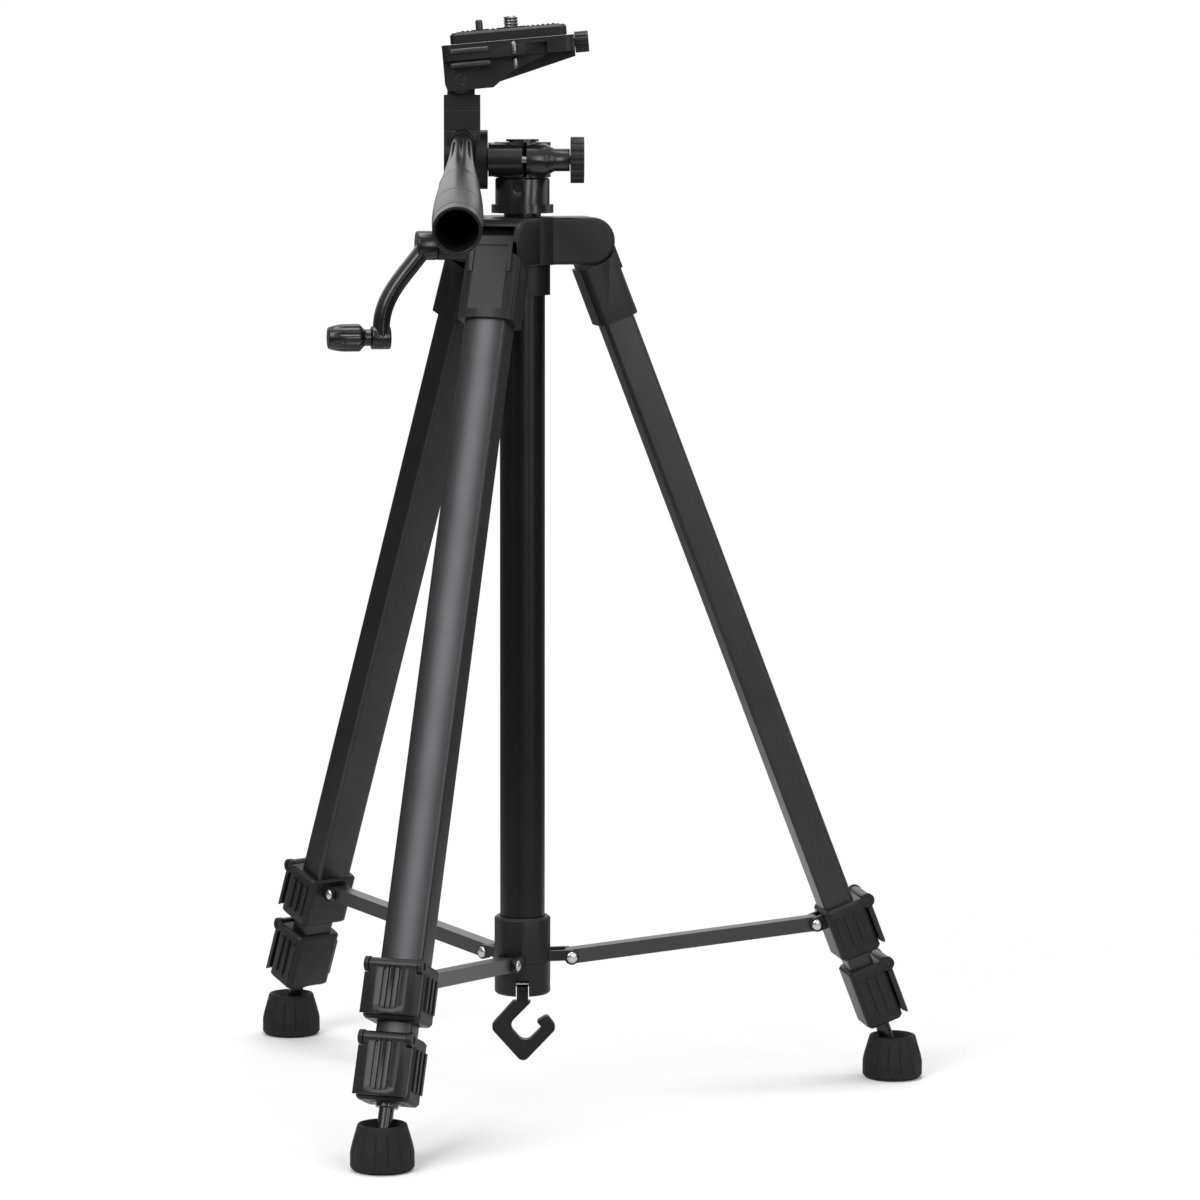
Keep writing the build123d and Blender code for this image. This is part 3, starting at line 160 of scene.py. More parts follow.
def layFloor():
    bm = bmesh.new()
    bmesh.ops.create_circle(bm, cap_ends=True, radius=studio["floorRadius"], segments=studio["floorSteps"])
    mesh = bpy.data.meshes.new("studioFloor")
    bm.to_mesh(mesh)
    bm.free()
    floor = bpy.data.objects.new("studioFloor", mesh)
    bpy.context.scene.collection.objects.link(floor)
    floor.location.z = -studio["floorDrop"]
    pale = bpy.data.materials.new("paleFloor")
    pale.use_nodes = True
    tree = pale.node_tree
    tree.nodes.clear()
    matt = tree.nodes.new("ShaderNodeBsdfDiffuse")
    matt.inputs["Color"].default_value = studio["floorTone"]
    clear = tree.nodes.new("ShaderNodeBsdfTransparent").outputs[0]       # shows the white background
    where = tree.nodes.new("ShaderNodeTexCoord").outputs["Object"]
    distances = []
    for spot in [joints[legName + "_foot_swivel"]["pos_m"] for legName in legNames] + [(0, 0, 0)]:
        away = tree.nodes.new("ShaderNodeVectorMath")
        away.operation = "DISTANCE"
        away.inputs[1].default_value = (spot[0], spot[1], 0)
        tree.links.new(where, away.inputs[0])
        distances.append(away.outputs["Value"])
    *feet, column = distances
    nearest = feet[0]
    for other in feet[1:]:
        nearest = combine(tree, "MINIMUM", nearest, other)
    clearness = ramp(tree, nearest, studio["footReach"], studio["floorClear"])
    cameraRay = tree.nodes.new("ShaderNodeLightPath").outputs["Is Camera Ray"]
    shown = blend(tree, combine(tree, "MULTIPLY", cameraRay, clearness), matt.outputs[0], clear)
    faded = blend(tree, ramp(tree, column, studio["floorFade"]), shown, clear)
    tree.links.new(faded, tree.nodes.new("ShaderNodeOutputMaterial").inputs["Surface"])
    mesh.materials.append(pale)


bpy.context.scene.view_settings.view_transform = "Standard"
placeCamera()
for lampName in lamps:
    placeLamp(lampName)
lightWorld()
layFloor()
print("studio set")

# finishes: tone and paler are the two base greys, rough the roughness range, sheen the specular level,
# grain the size of the surface texture and depth its height, edge how many times paler the bevel faces are
# painted, a painted edge highlight
finishes = {
    "mouldedPlastic": {"tone": 0.0065, "paler": 0.0105, "rough": (0.34, 0.48), "sheen": 0.22, "metal": 0,
                       "grain": 0.35 * mm, "depth": 0.03 * mm, "edge": 5.0},
    "smoothPlastic": {"tone": 0.005, "paler": 0.0085, "rough": (0.2, 0.3), "sheen": 0.4, "metal": 0,
                      "grain": 2.5 * mm, "depth": 0.008 * mm, "edge": 4.0},
    "leverPlastic": {"tone": 0.007, "paler": 0.012, "rough": (0.3, 0.42), "sheen": 0.28, "metal": 0,
                     "grain": 0.8 * mm, "depth": 0.015 * mm, "edge": 4.5},
    "gripGloss": {"tone": 0.008, "paler": 0.013, "rough": (0.3, 0.38), "sheen": 0.26, "metal": 0,
                  "grain": 3.0 * mm, "depth": 0.012 * mm, "edge": 1.8},
    "greyAnodised": {"tone": 0.036, "paler": 0.05, "rough": (0.33, 0.44), "sheen": 0.25, "metal": 0.9,
                     "grain": 0.3 * mm, "depth": 0.006 * mm, "edge": 2.2},
    "blackAnodised": {"tone": 0.008, "paler": 0.013, "rough": (0.26, 0.36), "sheen": 0.3, "metal": 0.5,
                      "grain": 0.3 * mm, "depth": 0.006 * mm, "edge": 2.4},
    "paintedSteel": {"tone": 0.018, "paler": 0.03, "rough": (0.28, 0.42), "sheen": 0.4, "metal": 0,
                     "grain": 0.6 * mm, "depth": 0.012 * mm, "edge": 2.8},
    "brightSteel": {"tone": 0.42, "paler": 0.55, "rough": (0.18, 0.32), "sheen": 0.5, "metal": 1,
                    "grain": 0.2 * mm, "depth": 0.004 * mm, "edge": 1.1},
    "screwSteel": {"tone": 0.13, "paler": 0.2, "rough": (0.24, 0.38), "sheen": 0.5, "metal": 1,
                   "grain": 0.2 * mm, "depth": 0.004 * mm, "edge": 1.2},
    # paler tone for the rib caps: a painted highlight
    "ribCapHighlight": {"tone": 0.018, "paler": 0.028, "rough": (0.24, 0.34), "sheen": 0.4, "metal": 0,
                     "grain": 0.8 * mm, "depth": 0.01 * mm, "edge": 1.5},
    "footRubber": {"tone": 0.006, "paler": 0.012, "rough": (0.6, 0.78), "sheen": 0.2, "metal": 0,
                   "grain": 0.5 * mm, "depth": 0.05 * mm, "edge": 1.6},
}
cloudScale = 45            # broad change of tone, about one cloud to a socket's width
cloudDetail, grainDetail = 4, 2
toneSpan = (0.6, 1.4)      # cloud and grain together go from tone to paler between these sums
palest = 0.85              # no painted edge highlight is paler than this
drawLines = 0.03           # the drawing lines of a tube are stretched this much along it
edgePolish = 0.7           # the bevel faces with the painted edge highlight are this share as rough as the rest
coolTint = 1.03            # the blacks lean a trace to blue


def makeFinish(name, axis=None, edgeLit=False, label=None):
    look = finishes[name]
    made = bpy.data.materials.new((label or name) + ("Edge" if edgeLit else ""))
    made.use_nodes = True
    tree = made.node_tree
    shader = tree.nodes["Principled BSDF"]
    shader.inputs["Metallic"].default_value = look["metal"]
    shader.inputs["Specular IOR Level"].default_value = look["sheen"]
    place = tree.nodes.new("ShaderNodeTexCoord").outputs["Object"]
    fine = place
    if axis is not None:                               # lines along a drawn tube
        turn = tree.nodes.new("ShaderNodeMapping")
        turn.inputs["Rotation"].default_value = axis.rotation_difference(Vector((0, 0, 1))).to_euler()
        tree.links.new(place, turn.inputs["Vector"])
        stretch = tree.nodes.new("ShaderNodeVectorMath")
        stretch.operation = "MULTIPLY"
        stretch.inputs[1].default_value = (1, 1, drawLines)
        tree.links.new(turn.outputs[0], stretch.inputs[0])
        fine = stretch.outputs[0]
    cloud = tree.nodes.new("ShaderNodeTexNoise")
    cloud.inputs["Scale"].default_value = cloudScale
    cloud.inputs["Detail"].default_value = cloudDetail
    tree.links.new(place, cloud.inputs["Vector"])
    grain = tree.nodes.new("ShaderNodeTexNoise")
    grain.inputs["Scale"].default_value = 1 / look["grain"]
    grain.inputs["Detail"].default_value = grainDetail
    tree.links.new(fine, grain.inputs["Vector"])
    share = tree.nodes.new("ShaderNodeMapRange")
    share.inputs["From Min"].default_value, share.inputs["From Max"].default_value = toneSpan
    tree.links.new(combine(tree, "ADD", cloud.outputs["Fac"], grain.outputs["Fac"]), share.inputs["Value"])
    # bevel faces get a paler copy of the greys: a painted edge highlight
    highlightGain = look["edge"] if edgeLit else 1
    tone = tree.nodes.new("ShaderNodeMix")
    tone.data_type = "RGBA"
    shades = [socket for socket in tone.inputs if socket.type == "RGBA"]
    for socket, shade in zip(shades, (look["tone"], look["paler"])):
        grey = min(shade * highlightGain, palest)
        socket.default_value = (grey, grey, grey * coolTint, 1)
    tree.links.new(share.outputs[0], tone.inputs["Factor"])
    blended = [socket for socket in tone.outputs if socket.type == "RGBA"][0]
    tree.links.new(blended, shader.inputs["Base Color"])
    rough = tree.nodes.new("ShaderNodeMapRange")
    polish = edgePolish if edgeLit else 1
    rough.inputs["To Min"].default_value = look["rough"][0] * polish
    rough.inputs["To Max"].default_value = look["rough"][1] * polish
    tree.links.new(grain.outputs["Fac"], rough.inputs["Value"])
    tree.links.new(rough.outputs[0], shader.inputs["Roughness"])
    bump = tree.nodes.new("ShaderNodeBump")
    bump.inputs["Distance"].default_value = look["depth"]
    tree.links.new(grain.outputs["Fac"], bump.inputs["Height"])
    tree.links.new(bump.outputs[0], shader.inputs["Normal"])
    return made


# the plain finish and its paler copy for bevel faces, which paints a highlight along the edges
def makePair(name, axis=None, label=None):
    return makeFinish(name, axis, False, label), makeFinish(name, axis, True, label)


material = {name: makePair(name) for name in finishes}
material["centreTube"] = makePair("blackAnodised", Vector((0, 0, 1)), "centreTube")
for legName in legNames:
    legAxis = -Vector(joints[legName + "_middle_slide"]["axis"])
    material[legName + "Tube"] = makePair("greyAnodised", legAxis, legName + "Tube")
print("finishes made:", len(material))

# CAD pieces that keep their shape: finish, and the width of the rounding along their edges
eased = {
    "crown": ("mouldedPlastic", 0.5 * mm),
    "centre_tube": ("centreTube", 0.2 * mm),
    "end_cap": ("mouldedPlastic", 0.4 * mm),
    "hook_pin": ("brightSteel", 0.15 * mm),
    "hook": ("mouldedPlastic", 0.7 * mm),
    "spreader_hub": ("mouldedPlastic", 0.3 * mm),
    "centre_column": ("centreTube", 0.2 * mm),
    "column_rack": ("mouldedPlastic", 0.1 * mm),
    "crank_pinion": ("brightSteel", 0.1 * mm),
    "pan_base": ("smoothPlastic", 0.3 * mm),
    "pan_clamp": ("smoothPlastic", 0.4 * mm),
    "pan_knob": ("mouldedPlastic", 0.4 * mm),
    "tilt_bracket": ("mouldedPlastic", 0.5 * mm),
    "handle_rod": ("brightSteel", 0.2 * mm),
    "platform": ("mouldedPlastic", 0.5 * mm),
    "flip_pin": ("mouldedPlastic", 0.3 * mm),
    "quick_plate": ("mouldedPlastic", 0.3 * mm),
    "locating_pin": ("paintedSteel", 0.15 * mm),
    "plate_lock_knob": ("mouldedPlastic", 0.3 * mm),
}
easedLeg = {
    "socket": ("mouldedPlastic", 0.5 * mm),
    "upper_tube": ("Tube", 0.15 * mm),
    "upper_collar": ("mouldedPlastic", 0.35 * mm),
    "upper_lever": ("leverPlastic", 0.3 * mm),
    "middle_tube": ("Tube", 0.15 * mm),
    "lower_collar": ("mouldedPlastic", 0.35 * mm),
    "lower_lever": ("leverPlastic", 0.3 * mm),
    "lower_tube": ("Tube", 0.15 * mm),
    "ball_stud": ("smoothPlastic", 0.2 * mm),
    "brace": ("paintedSteel", 0.4 * mm),
}
for legName in legNames:
    for part, (finish, width) in easedLeg.items():
        eased[legName + "_" + part] = (legName + finish if finish == "Tube" else finish, width)
creaseAngle = math.radians(32)      # edges sharper than this are rounded
flatAngle = math.radians(0.4)       # faces that meet at less than this become one
weldGap = 0.002 * mm
easeSteps = 2


def dress(piece, finish):
    piece.data.materials.clear()
    for shade in material[finish]:
        piece.data.materials.append(shade)
    for polygon in piece.data.polygons:
        polygon.material_index = 0
        polygon.use_smooth = True
    piece.data.set_sharp_from_angle(angle=creaseAngle)


def easeEdges(node):
    finish, width = eased[node]
    mesh = nodes[node].data.copy()
    bm = bmesh.new()
    bm.from_mesh(mesh)
    bmesh.ops.remove_doubles(bm, verts=bm.verts, dist=weldGap)
    bmesh.ops.dissolve_limit(bm, angle_limit=flatAngle, verts=bm.verts, edges=bm.edges)
    bm.to_mesh(mesh)
    bm.free()
    piece = bpy.data.objects.new(node + "_skin", mesh)
    bpy.context.scene.collection.objects.link(piece)
    dress(piece, finish)
    bevel = piece.modifiers.new("easedEdges", "BEVEL")
    bevel.width = width
    bevel.segments = easeSteps
    bevel.limit_method = "ANGLE"
    bevel.angle_limit = creaseAngle
    bevel.harden_normals = True
    # bevel faces take the paler second material, a painted edge highlight
    bevel.material = 1
    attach(piece, bodyOf[node])
    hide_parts(node)


for node in eased:
    easeEdges(node)
print("eased pieces:", len(eased))


# Geometry Nodes: a tree with named sizes, run once and kept as a plain mesh
def newTree(name, sizes):
    tree = bpy.data.node_groups.new(name, "GeometryNodeTree")
    tree.interface.new_socket("Geometry", in_out="INPUT", socket_type="NodeSocketGeometry")
    for label, kind in sizes.items():
        tree.interface.new_socket(label, in_out="INPUT", socket_type="NodeSocket" + kind)
    tree.interface.new_socket("Geometry", in_out="OUTPUT", socket_type="NodeSocketGeometry")
    return tree, tree.nodes.new("NodeGroupInput").outputs


def endTree(tree, geometry, finish):
    real = tree.nodes.new("GeometryNodeRealizeInstances")
    tree.links.new(geometry, real.inputs[0])
    paint = tree.nodes.new("GeometryNodeSetMaterial")
    tree.links.new(real.outputs[0], paint.inputs["Geometry"])
    tree.links.new(finish, paint.inputs["Material"])
    tree.links.new(paint.outputs[0], tree.nodes.new("NodeGroupOutput").inputs[0])


def grow(name, tree, sizes, seed):
    piece = bpy.data.objects.new(name, seed)
    bpy.context.scene.collection.objects.link(piece)
    modifier = piece.modifiers.new("grow", "NODES")
    modifier.node_group = tree
    for socket in tree.interface.items_tree:
        if socket.in_out == "INPUT" and socket.name in sizes:
            modifier[socket.identifier] = sizes[socket.name]
    evaluated = piece.evaluated_get(bpy.context.evaluated_depsgraph_get())
    grown = bpy.data.meshes.new_from_object(evaluated)
    piece.modifiers.remove(modifier)
    piece.data = grown
    for polygon in grown.polygons:
        polygon.use_smooth = True
    grown.set_sharp_from_angle(angle=creaseAngle)
    return piece


# domed rivets where the braces turn: three in the hub, one in each leg's collar
rivet = {
    "headRadius": 2.6 * mm, "headHeight": 1.15 * mm, "shankRadius": 1.5 * mm, "reach": 5.8 * mm,
    "headSteps": 28, "headRings": 14, "shankSteps": 20,
}


def rivetTree():
    sizes = {label: "Float" for label in ("Head Radius", "Head Height", "Shank Radius", "Reach")}
    tree, size = newTree("domedRivets", {**sizes, "Finish": "Material"})
    dome = tree.nodes.new("GeometryNodeMeshUVSphere")
    dome.inputs["Segments"].default_value = rivet["headSteps"]
    dome.inputs["Rings"].default_value = rivet["headRings"]
    dome.inputs["Radius"].default_value = 1
    squat = tree.nodes.new("ShaderNodeCombineXYZ")
    for socket, label in zip(squat.inputs, ("Head Radius", "Head Radius", "Head Height")):
        tree.links.new(size[label], socket)
    whole = tree.nodes.new("GeometryNodeJoinGeometry")
    for side in (-1, 1):
        away = tree.nodes.new("ShaderNodeMath")
        away.operation = "MULTIPLY"
        away.inputs[1].default_value = side
        tree.links.new(size["Reach"], away.inputs[0])
        place = tree.nodes.new("ShaderNodeCombineXYZ")
        tree.links.new(away.outputs[0], place.inputs["Z"])
        head = tree.nodes.new("GeometryNodeTransform")
        tree.links.new(dome.outputs["Mesh"], head.inputs["Geometry"])
        tree.links.new(place.outputs[0], head.inputs["Translation"])
        tree.links.new(squat.outputs[0], head.inputs["Scale"])
        tree.links.new(head.outputs[0], whole.inputs[0])
    length = tree.nodes.new("ShaderNodeMath")
    length.operation = "MULTIPLY"
    length.inputs[1].default_value = 2
    tree.links.new(size["Reach"], length.inputs[0])
    shank = tree.nodes.new("GeometryNodeMeshCylinder")
    shank.inputs["Vertices"].default_value = rivet["shankSteps"]
    tree.links.new(size["Shank Radius"], shank.inputs["Radius"])
    tree.links.new(length.outputs[0], shank.inputs["Depth"])
    tree.links.new(shank.outputs["Mesh"], whole.inputs[0])
    axis = tree.nodes.new("GeometryNodeInputNamedAttribute")
    axis.data_type = "FLOAT_VECTOR"
    axis.inputs["Name"].default_value = "axis"
    turn = tree.nodes.new("FunctionNodeAlignRotationToVector")
    turn.axis = "Z"
    tree.links.new(axis.outputs["Attribute"], turn.inputs["Vector"])
    copies = tree.nodes.new("GeometryNodeInstanceOnPoints")
    tree.links.new(size["Geometry"], copies.inputs["Points"])
    tree.links.new(whole.outputs[0], copies.inputs["Instance"])
    tree.links.new(turn.outputs[0], copies.inputs["Rotation"])
    endTree(tree, copies.outputs[0], size["Finish"])
    return tree


rivetMaker = rivetTree()


def setRivets(name, hinges, body, *replaced):
    seed = bpy.data.meshes.new(name + "Points")
    seed.from_pydata([joints[hinge]["pos_m"] for hinge in hinges], [], [])
    axes = seed.attributes.new("axis", "FLOAT_VECTOR", "POINT")
    for item, hinge in zip(axes.data, hinges):
        item.vector = joints[hinge]["axis"]
    piece = grow(name, rivetMaker, {
        "Head Radius": rivet["headRadius"], "Head Height": rivet["headHeight"],
        "Shank Radius": rivet["shankRadius"], "Reach": rivet["reach"],
        "Finish": material["brightSteel"][0]}, seed)
    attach(piece, body)
    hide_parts(*replaced)


setRivets("hubRivets", [name + "_brace_hinge" for name in legNames], "hub", "hub_rivets")
for legName in legNames:
    setRivets(legName + "LugRivet", [legName + "_leg_hinge"], legName + "_leg", legName + "_lug_rivet")
print("rivets set")


# a turned shape: rings of points about the Z axis of a frame, closed at poles where the radius is zero
def turned(name, rings, steps, place, radiusAt=None):
    bm = bmesh.new()
    loops = []
    for radius, height in rings:
        if radius == 0:
            loops.append([bm.verts.new(place @ Vector((0, 0, height)))] * steps)
            continue
        loop = []
        for step in range(steps):
            angle = 2 * math.pi * step / steps
            reach = radiusAt(radius, height, angle) if radiusAt else radius
            spot = Vector((reach * math.cos(angle), reach * math.sin(angle), height))
            loop.append(bm.verts.new(place @ spot))
        loops.append(loop)
    for lower, upper in zip(loops, loops[1:]):
        for step in range(steps):
            after = (step + 1) % steps
            corners = [lower[step], lower[after], upper[after], upper[step]]
            bm.faces.new(list(dict.fromkeys(corners)))
    bmesh.ops.recalc_face_normals(bm, faces=bm.faces)
    mesh = bpy.data.meshes.new(name)
    bm.to_mesh(mesh)
    bm.free()
    return mesh


quarterTurn = [math.radians(turn) for turn in (22.5, 45, 67.5, 90)]      # steps of a rounded rim


def smoothStep(value):
    value = min(max(value, 0), 1)
    return value * value * (3 - 2 * value)


# pan handle grip: a swelling cone with finger flutes at its neck, two seams and an open end
grip = {
    "start": 10 * mm, "end": 176 * mm, "crest": 156 * mm,
    "neckRadius": 4.8 * mm, "crestRadius": 10.6 * mm, "endRadius": 10.2 * mm,
    "wall": 1.4 * mm, "recess": 80 * mm, "lip": 0.35 * mm,
    "flutes": 8, "fluteDepth": 1.5 * mm, "fluteStart": 14 * mm, "fluteEnd": 95 * mm,
    "fluteLead": 6 * mm, "fluteSharp": 3,
    "seams": (142 * mm, 168.5 * mm), "seamDepth": 0.3 * mm, "seamWidth": 0.8 * mm, "seamSteps": 4,
    "rings": 110, "steps": 96,
}


def handleFrame():
    twist = joints["handle_twist"]
    along = Vector(twist["axis"]).normalized()
    side = Vector((1, 0, 0))
    turn = Matrix((side, along.cross(side), along)).transposed().to_4x4()
    return Matrix.Translation(twist["pos_m"]) @ turn


def gripRadius(height):
    if height < grip["crest"]:
        swell = smoothStep((height - grip["start"]) / (grip["crest"] - grip["start"]))
        radius = grip["neckRadius"] + (grip["crestRadius"] - grip["neckRadius"]) * swell
    else:
        fall = smoothStep((height - grip["crest"]) / (grip["end"] - grip["crest"]))
        radius = grip["crestRadius"] + (grip["endRadius"] - grip["crestRadius"]) * fall
    for seam in grip["seams"]:
        near = abs(height - seam) / (grip["seamWidth"] / 2)
        radius -= grip["seamDepth"] * (1 - smoothStep(near))
    return radius


def gripFlute(radius, height, angle):
    if radius < grip["neckRadius"] or height > grip["fluteEnd"]:
        return radius
    share = smoothStep((height - grip["fluteStart"]) / grip["fluteLead"])
    share *= 1 - smoothStep((height - grip["fluteStart"]) / (grip["fluteEnd"] - grip["fluteStart"]))
    wave = 0.5 + 0.5 * math.cos(grip["flutes"] * (angle - math.pi / 2))
    return radius - grip["fluteDepth"] * share * wave ** grip["fluteSharp"]


def makeGrip():
    start, end, lip, reach = grip["start"], grip["end"], grip["lip"], grip["seamSteps"]
    length, count = end - start - 2 * lip, grip["rings"]
    heights = [start + lip + length * step / count for step in range(count + 1)]
    for seam in grip["seams"]:
        heights += [seam + grip["seamWidth"] * part / (2 * reach) for part in range(-reach, reach + 1)]
    outside = [(gripRadius(height), height) for height in sorted(set(heights))]
    bore = grip["endRadius"] - grip["wall"]
    floor = end - grip["recess"]
    rings = [(0, start), (grip["neckRadius"] - lip, start)] + outside
    rings += [(grip["endRadius"] - lip, end), (bore + lip, end), (bore, end - lip)]
    rings += [(bore, floor + lip), (bore - lip, floor), (0, floor)]
    mesh = turned("pan_grip", rings, grip["steps"], handleFrame(), gripFlute)
    piece = bpy.data.objects.new("pan_grip", mesh)
    bpy.context.scene.collection.objects.link(piece)
    dress(piece, "gripGloss")
    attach(piece, "pan_handle")
    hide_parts("handle_grip")


makeGrip()
print("grip made")

# crank: an oval bar bent between the shaft's hub and the knob's boss, and a fluted knob. The hub and
# the ends are rods, each with its near end, far end and radius
crank = {
    "throw": 40.5 * mm, "start": 41.8 * mm, "end": 61.8 * mm,
    "lead": (9.8 * mm, 14 * mm), "tail": (1.8 * mm, 18 * mm), "section": (5.25 * mm, 3.75 * mm),
    "hub": (37.3 * mm, 46.3 * mm, 6.5 * mm),
    "ends": ((58.05 * mm, 66.55 * mm, 5.25 * mm), (61.8 * mm, 82.5 * mm, 2.2 * mm)),
    "round": 0.7 * mm, "steps": 56, "bendSteps": 48, "sectionSteps": 36,
}
knob = {
    "start": 66.85 * mm, "length": 19 * mm, "radius": 6.2 * mm, "neckRadius": 3.7 * mm, "neck": 2.4 * mm,
    "shoulder": 5.4 * mm, "crest": 11 * mm, "nose": 1.5 * mm, "round": 0.9 * mm, "rings": 40, "steps": 160,
    "flutes": 10, "fluteDepth": 0.55 * mm, "fluteEnd": 17.2 * mm, "fluteSharp": 4, "lip": 0.2 * mm,
}


def crankFrame():
    out = Vector(joints["crank_turn"]["axis"]).normalized()
    up = Vector((0, 0, 1))
    turn = Matrix((out, up.cross(out), up)).transposed().to_4x4()
    return Matrix.Translation(joints["crank_turn"]["pos_m"]) @ turn


def rodRings(near, far, radius):
    soft = crank["round"]
    bend = [(soft * (1 - math.sin(turn)), soft * (1 - math.cos(turn))) for turn in [0] + quarterTurn]
    rings = [(0, near)] + [(radius - inward, near + along) for inward, along in bend]
    return rings + [(radius - inward, far - along) for inward, along in reversed(bend)] + [(0, far)]


def barTree():
    ends = ("Start", "Start Handle", "End Handle", "End")
    sizes = {label: "Vector" for label in ends + ("Section",)}
    tree, size = newTree("crankBar", {**sizes, "Finish": "Material"})
    bend = tree.nodes.new("GeometryNodeCurvePrimitiveBezierSegment")
    bend.inputs["Resolution"].default_value = crank["bendSteps"]
    for label in ends:
        tree.links.new(size[label], bend.inputs[label])
    circle = tree.nodes.new("GeometryNodeCurvePrimitiveCircle")
    circle.inputs["Resolution"].default_value = crank["sectionSteps"]
    circle.inputs["Radius"].default_value = 1
    oval = tree.nodes.new("GeometryNodeTransform")
    tree.links.new(circle.outputs["Curve"], oval.inputs["Geometry"])
    tree.links.new(size["Section"], oval.inputs["Scale"])
    bar = tree.nodes.new("GeometryNodeCurveToMesh")
    bar.inputs["Fill Caps"].default_value = True
    tree.links.new(bend.outputs["Curve"], bar.inputs["Curve"])
    tree.links.new(oval.outputs[0], bar.inputs["Profile Curve"])
    whole = tree.nodes.new("GeometryNodeJoinGeometry")
    tree.links.new(size["Geometry"], whole.inputs[0])
    tree.links.new(bar.outputs[0], whole.inputs[0])
    endTree(tree, whole.outputs[0], size["Finish"])
    return tree


def makeCrank():
    along = Matrix.Rotation(math.pi / 2, 4, "Y")
    bm = bmesh.new()
    bm.from_mesh(turned("crankHub", rodRings(*crank["hub"]), crank["steps"], along))
    for rod in crank["ends"]:
        place = Matrix.Translation((0, 0, -crank["throw"])) @ along
        bm.from_mesh(turned("crankEnd", rodRings(*rod), crank["steps"], place))
    seed = bpy.data.meshes.new("crankEnds")
    bm.to_mesh(seed)
    bm.free()
    lead, tail = crank["lead"], crank["tail"]
    piece = grow("crank_bar", barTree(), {
        "Start": (crank["start"], 0.0, 0.0), "Start Handle": (crank["start"] + lead[0], 0.0, -lead[1]),
        "End Handle": (crank["end"] + tail[0], 0.0, tail[1] - crank["throw"]),
        "End": (crank["end"], 0.0, -crank["throw"]), "Section": (*crank["section"], 1.0),
        "Finish": material["smoothPlastic"][0]}, seed)
    piece.data.transform(crankFrame())
    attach(piece, "crank")
    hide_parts("crank_arm")


def knobFlute(radius, height, angle):
    if radius < knob["neckRadius"]:
        return radius
    share = smoothStep((height - knob["neck"]) / (knob["shoulder"] - knob["neck"]))
    share *= smoothStep((knob["fluteEnd"] - height) / knob["shoulder"])
    wave = 0.5 + 0.5 * math.cos(knob["flutes"] * angle)
    return radius - knob["fluteDepth"] * share * wave ** knob["fluteSharp"]


def makeKnob():
    soft, length, lip, neck = knob["round"], knob["length"], knob["lip"], knob["neckRadius"]
    rings = [(0, 0), (neck - lip, 0)]
    for step in range(knob["rings"] + 1):
        height = lip + (length - soft - lip) * step / knob["rings"]
        swell = smoothStep((height - knob["neck"]) / (knob["shoulder"] - knob["neck"]))
        fall = max(0, (height - knob["crest"]) / (length - knob["crest"]))
        rings.append((neck + (knob["radius"] - neck) * swell - knob["nose"] * fall ** 2, height))
    last = rings[-1][0]
    for turn in quarterTurn:                                                        # rounded nose
        rings.append((last - soft * (1 - math.cos(turn)), length - soft + soft * math.sin(turn)))
    rings.append((0, length))
    place = Matrix.Translation((knob["start"], 0, -crank["throw"])) @ Matrix.Rotation(math.pi / 2, 4, "Y")
    mesh = turned("crank_handle", rings, knob["steps"], crankFrame() @ place, knobFlute)
    piece = bpy.data.objects.new("crank_handle", mesh)
    bpy.context.scene.collection.objects.link(piece)
    dress(piece, "smoothPlastic")
    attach(piece, "crank_grip")
    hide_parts("crank_knob")


makeCrank()
makeKnob()
print("crank made")


# the quick plate's own frame: X along the plate from the flip pin, Z up from it
def plateFrame():
    up = Vector(joints["plate_lift"]["axis"]).normalized()
    across = Vector((0, 1, 0))
    turn = Matrix((across.cross(up), across, up)).transposed().to_4x4()
    return Matrix.Translation(joints["platform_flip"]["pos_m"]) @ turn


# camera screw: head under the plate, neck through it, and the 20 to the inch thread above
screw = {
    "along": 24 * mm, "headLow": 15.9 * mm, "headHigh": 17.4 * mm, "headRadius": 6 * mm, "round": 0.3 * mm,
    "coreRadius": 2.6 * mm, "crestRadius": 3.175 * mm, "tipRadius": 2.0 * mm,
    "threadLow": 20.9 * mm, "tipLow": 25.3 * mm, "tipHigh": 25.9 * mm, "pitch": 1.27 * mm, "steps": 40,
}
threadSteps, ridgeSteps = 36, 10      # round a turn of the thread, and round its ridge


def threadTree():
    tree, size = newTree("screwThread", {"Core Radius": "Float", "Ridge": "Float", "Turns": "Float",
                                         "Height": "Float", "Low": "Vector", "Finish": "Material"})
    helix = tree.nodes.new("GeometryNodeCurveSpiral")
    helix.inputs["Resolution"].default_value = threadSteps
    tree.links.new(size["Turns"], helix.inputs["Rotations"])
    tree.links.new(size["Core Radius"], helix.inputs["Start Radius"])
    tree.links.new(size["Core Radius"], helix.inputs["End Radius"])
    tree.links.new(size["Height"], helix.inputs["Height"])
    ridge = tree.nodes.new("GeometryNodeCurvePrimitiveCircle")
    ridge.inputs["Resolution"].default_value = ridgeSteps
    tree.links.new(size["Ridge"], ridge.inputs["Radius"])
    sweep = tree.nodes.new("GeometryNodeCurveToMesh")
    sweep.inputs["Fill Caps"].default_value = True
    tree.links.new(helix.outputs[0], sweep.inputs["Curve"])
    tree.links.new(ridge.outputs["Curve"], sweep.inputs["Profile Curve"])
    place = tree.nodes.new("GeometryNodeTransform")
    tree.links.new(sweep.outputs[0], place.inputs["Geometry"])
    tree.links.new(size["Low"], place.inputs["Translation"])
    whole = tree.nodes.new("GeometryNodeJoinGeometry")
    tree.links.new(size["Geometry"], whole.inputs[0])
    tree.links.new(place.outputs[0], whole.inputs[0])
    endTree(tree, whole.outputs[0], size["Finish"])
    return tree


